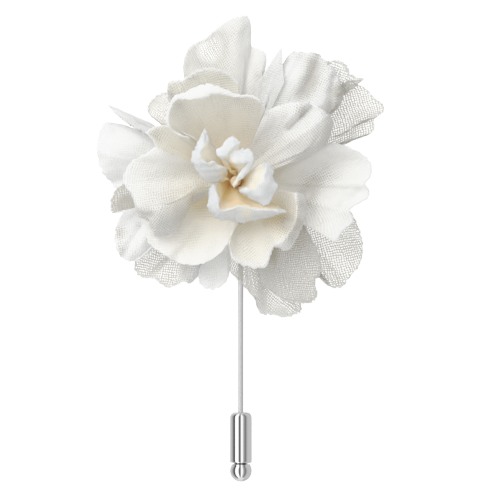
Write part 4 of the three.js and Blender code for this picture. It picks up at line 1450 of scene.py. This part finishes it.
def add_mirrored_ring():
    """Light and dark strips that only bright metal mirrors.

    They are a tube about Y, shaded by the angle from the zenith.
    """
    angles, shades = np.array(MIRRORED, dtype=float).T
    angle, y = np.meshgrid(np.linspace(-180, 180, 361), [-RING_HALF, RING_HALF], indexing="ij")
    turn = np.radians(angle)
    points = np.stack([RING_RADIUS * np.sin(turn), y, RING_RADIUS * np.cos(turn)], axis=2).reshape(-1, 3)
    nodes = Nodes("mirrored_strips")
    shade = nodes.add("Attribute", attribute_name="shade").outputs["Fac"]
    glow = nodes.add("Emission", {"Color": (1, 1, 1, 1), "Strength": shade})
    strips = nodes.finish(glow.outputs[0])
    tints = {"shade": np.interp(angle, angles, shades).ravel()}
    ring = add_mesh("mirrored_ring", points, grid_faces(*angle.shape), strips, tints=tints)
    for ray in ("camera", "diffuse", "shadow", "transmission", "volume_scatter"):
        setattr(ring, "visible_" + ray, False)


def add_world(stage):
    """The same pale light from all round."""
    world = bpy.data.worlds.new("studio")
    world.use_nodes = True
    tree = world.node_tree
    tree.nodes.clear()
    background = tree.nodes.new("ShaderNodeBackground")
    output = tree.nodes.new("ShaderNodeOutputWorld")
    background.inputs["Color"].default_value = (1.0, 1.0, 1.0, 1)
    background.inputs["Strength"].default_value = stage.fill
    tree.links.new(background.outputs[0], output.inputs[0])
    bpy.context.scene.world = world


def add_softbox(name, power, size, place):
    """A rectangular soft light at place that faces the bloom and isn't mirrored."""
    light = bpy.data.lights.new(name, "AREA")
    light.shape = "RECTANGLE"
    light.size, light.size_y = size
    light.energy = power
    lamp = bpy.data.objects.new(name, light)
    place = np.array(place)
    aim = place - BLOOM * MM
    lamp.location = place
    lamp.visible_glossy = False
    lamp.rotation_mode = "QUATERNION"
    lamp.rotation_quaternion = Vector(aim).to_track_quat("Z", "Y")
    bpy.context.collection.objects.link(lamp)


SHEET_WORDS = {
    "rear_gauze": "rear sheet of gauze petals",
    "second_gauze": "second sheet of gauze petals",
    "middle_muslin": "middle sheet of muslin petals",
    "inner_muslin": "inner curled petals",
    "tinted_centre": "rolled centre petals",
}
SHEET_OPERATORS = [sheet_operator(name, words) for name, words in SHEET_WORDS.items()]
OPERATORS = [
    BOUTONNIERE_OT_stage,
    *SHEET_OPERATORS,
    BOUTONNIERE_OT_backing,
    BOUTONNIERE_OT_needle,
    BOUTONNIERE_OT_clutch,
]


class BOUTONNIERE_PT_panel(bpy.types.Panel):
    """The boutonniere's sizes, colours and pieces"""

    bl_idname = "BOUTONNIERE_PT_panel"
    bl_label = "Boutonniere"
    bl_space_type = "VIEW_3D"
    bl_region_type = "UI"
    bl_category = "Boutonniere"

    def draw(self, context):
        scene = context.scene
        for settings in (scene.boutonniere_cloth, scene.boutonniere_pin, scene.boutonniere_stage):
            box = self.layout.box()
            for name in settings.__annotations__:
                box.prop(settings, name)
        for operator in OPERATORS:
            self.layout.operator(operator.bl_idname)


CLASSES = [ClothSettings, PinSettings, StageSettings, *OPERATORS, BOUTONNIERE_PT_panel]


def register():
    """Add the classes and their settings."""
    for cls in CLASSES:
        bpy.utils.register_class(cls)
    bpy.types.Scene.boutonniere_cloth = PointerProperty(type=ClothSettings)
    bpy.types.Scene.boutonniere_pin = PointerProperty(type=PinSettings)
    bpy.types.Scene.boutonniere_stage = PointerProperty(type=StageSettings)


def unregister():
    """Take them away again."""
    for name in ("boutonniere_cloth", "boutonniere_pin", "boutonniere_stage"):
        delattr(bpy.types.Scene, name)
    for cls in reversed(CLASSES):
        bpy.utils.unregister_class(cls)


def main():
    """Make every piece and note the solid model's box and the dressed part's box."""
    register()
    for operator in OPERATORS:
        getattr(bpy.ops.boutonniere, operator.bl_idname.split(".")[1])()


if __name__ == "__main__":
    main()
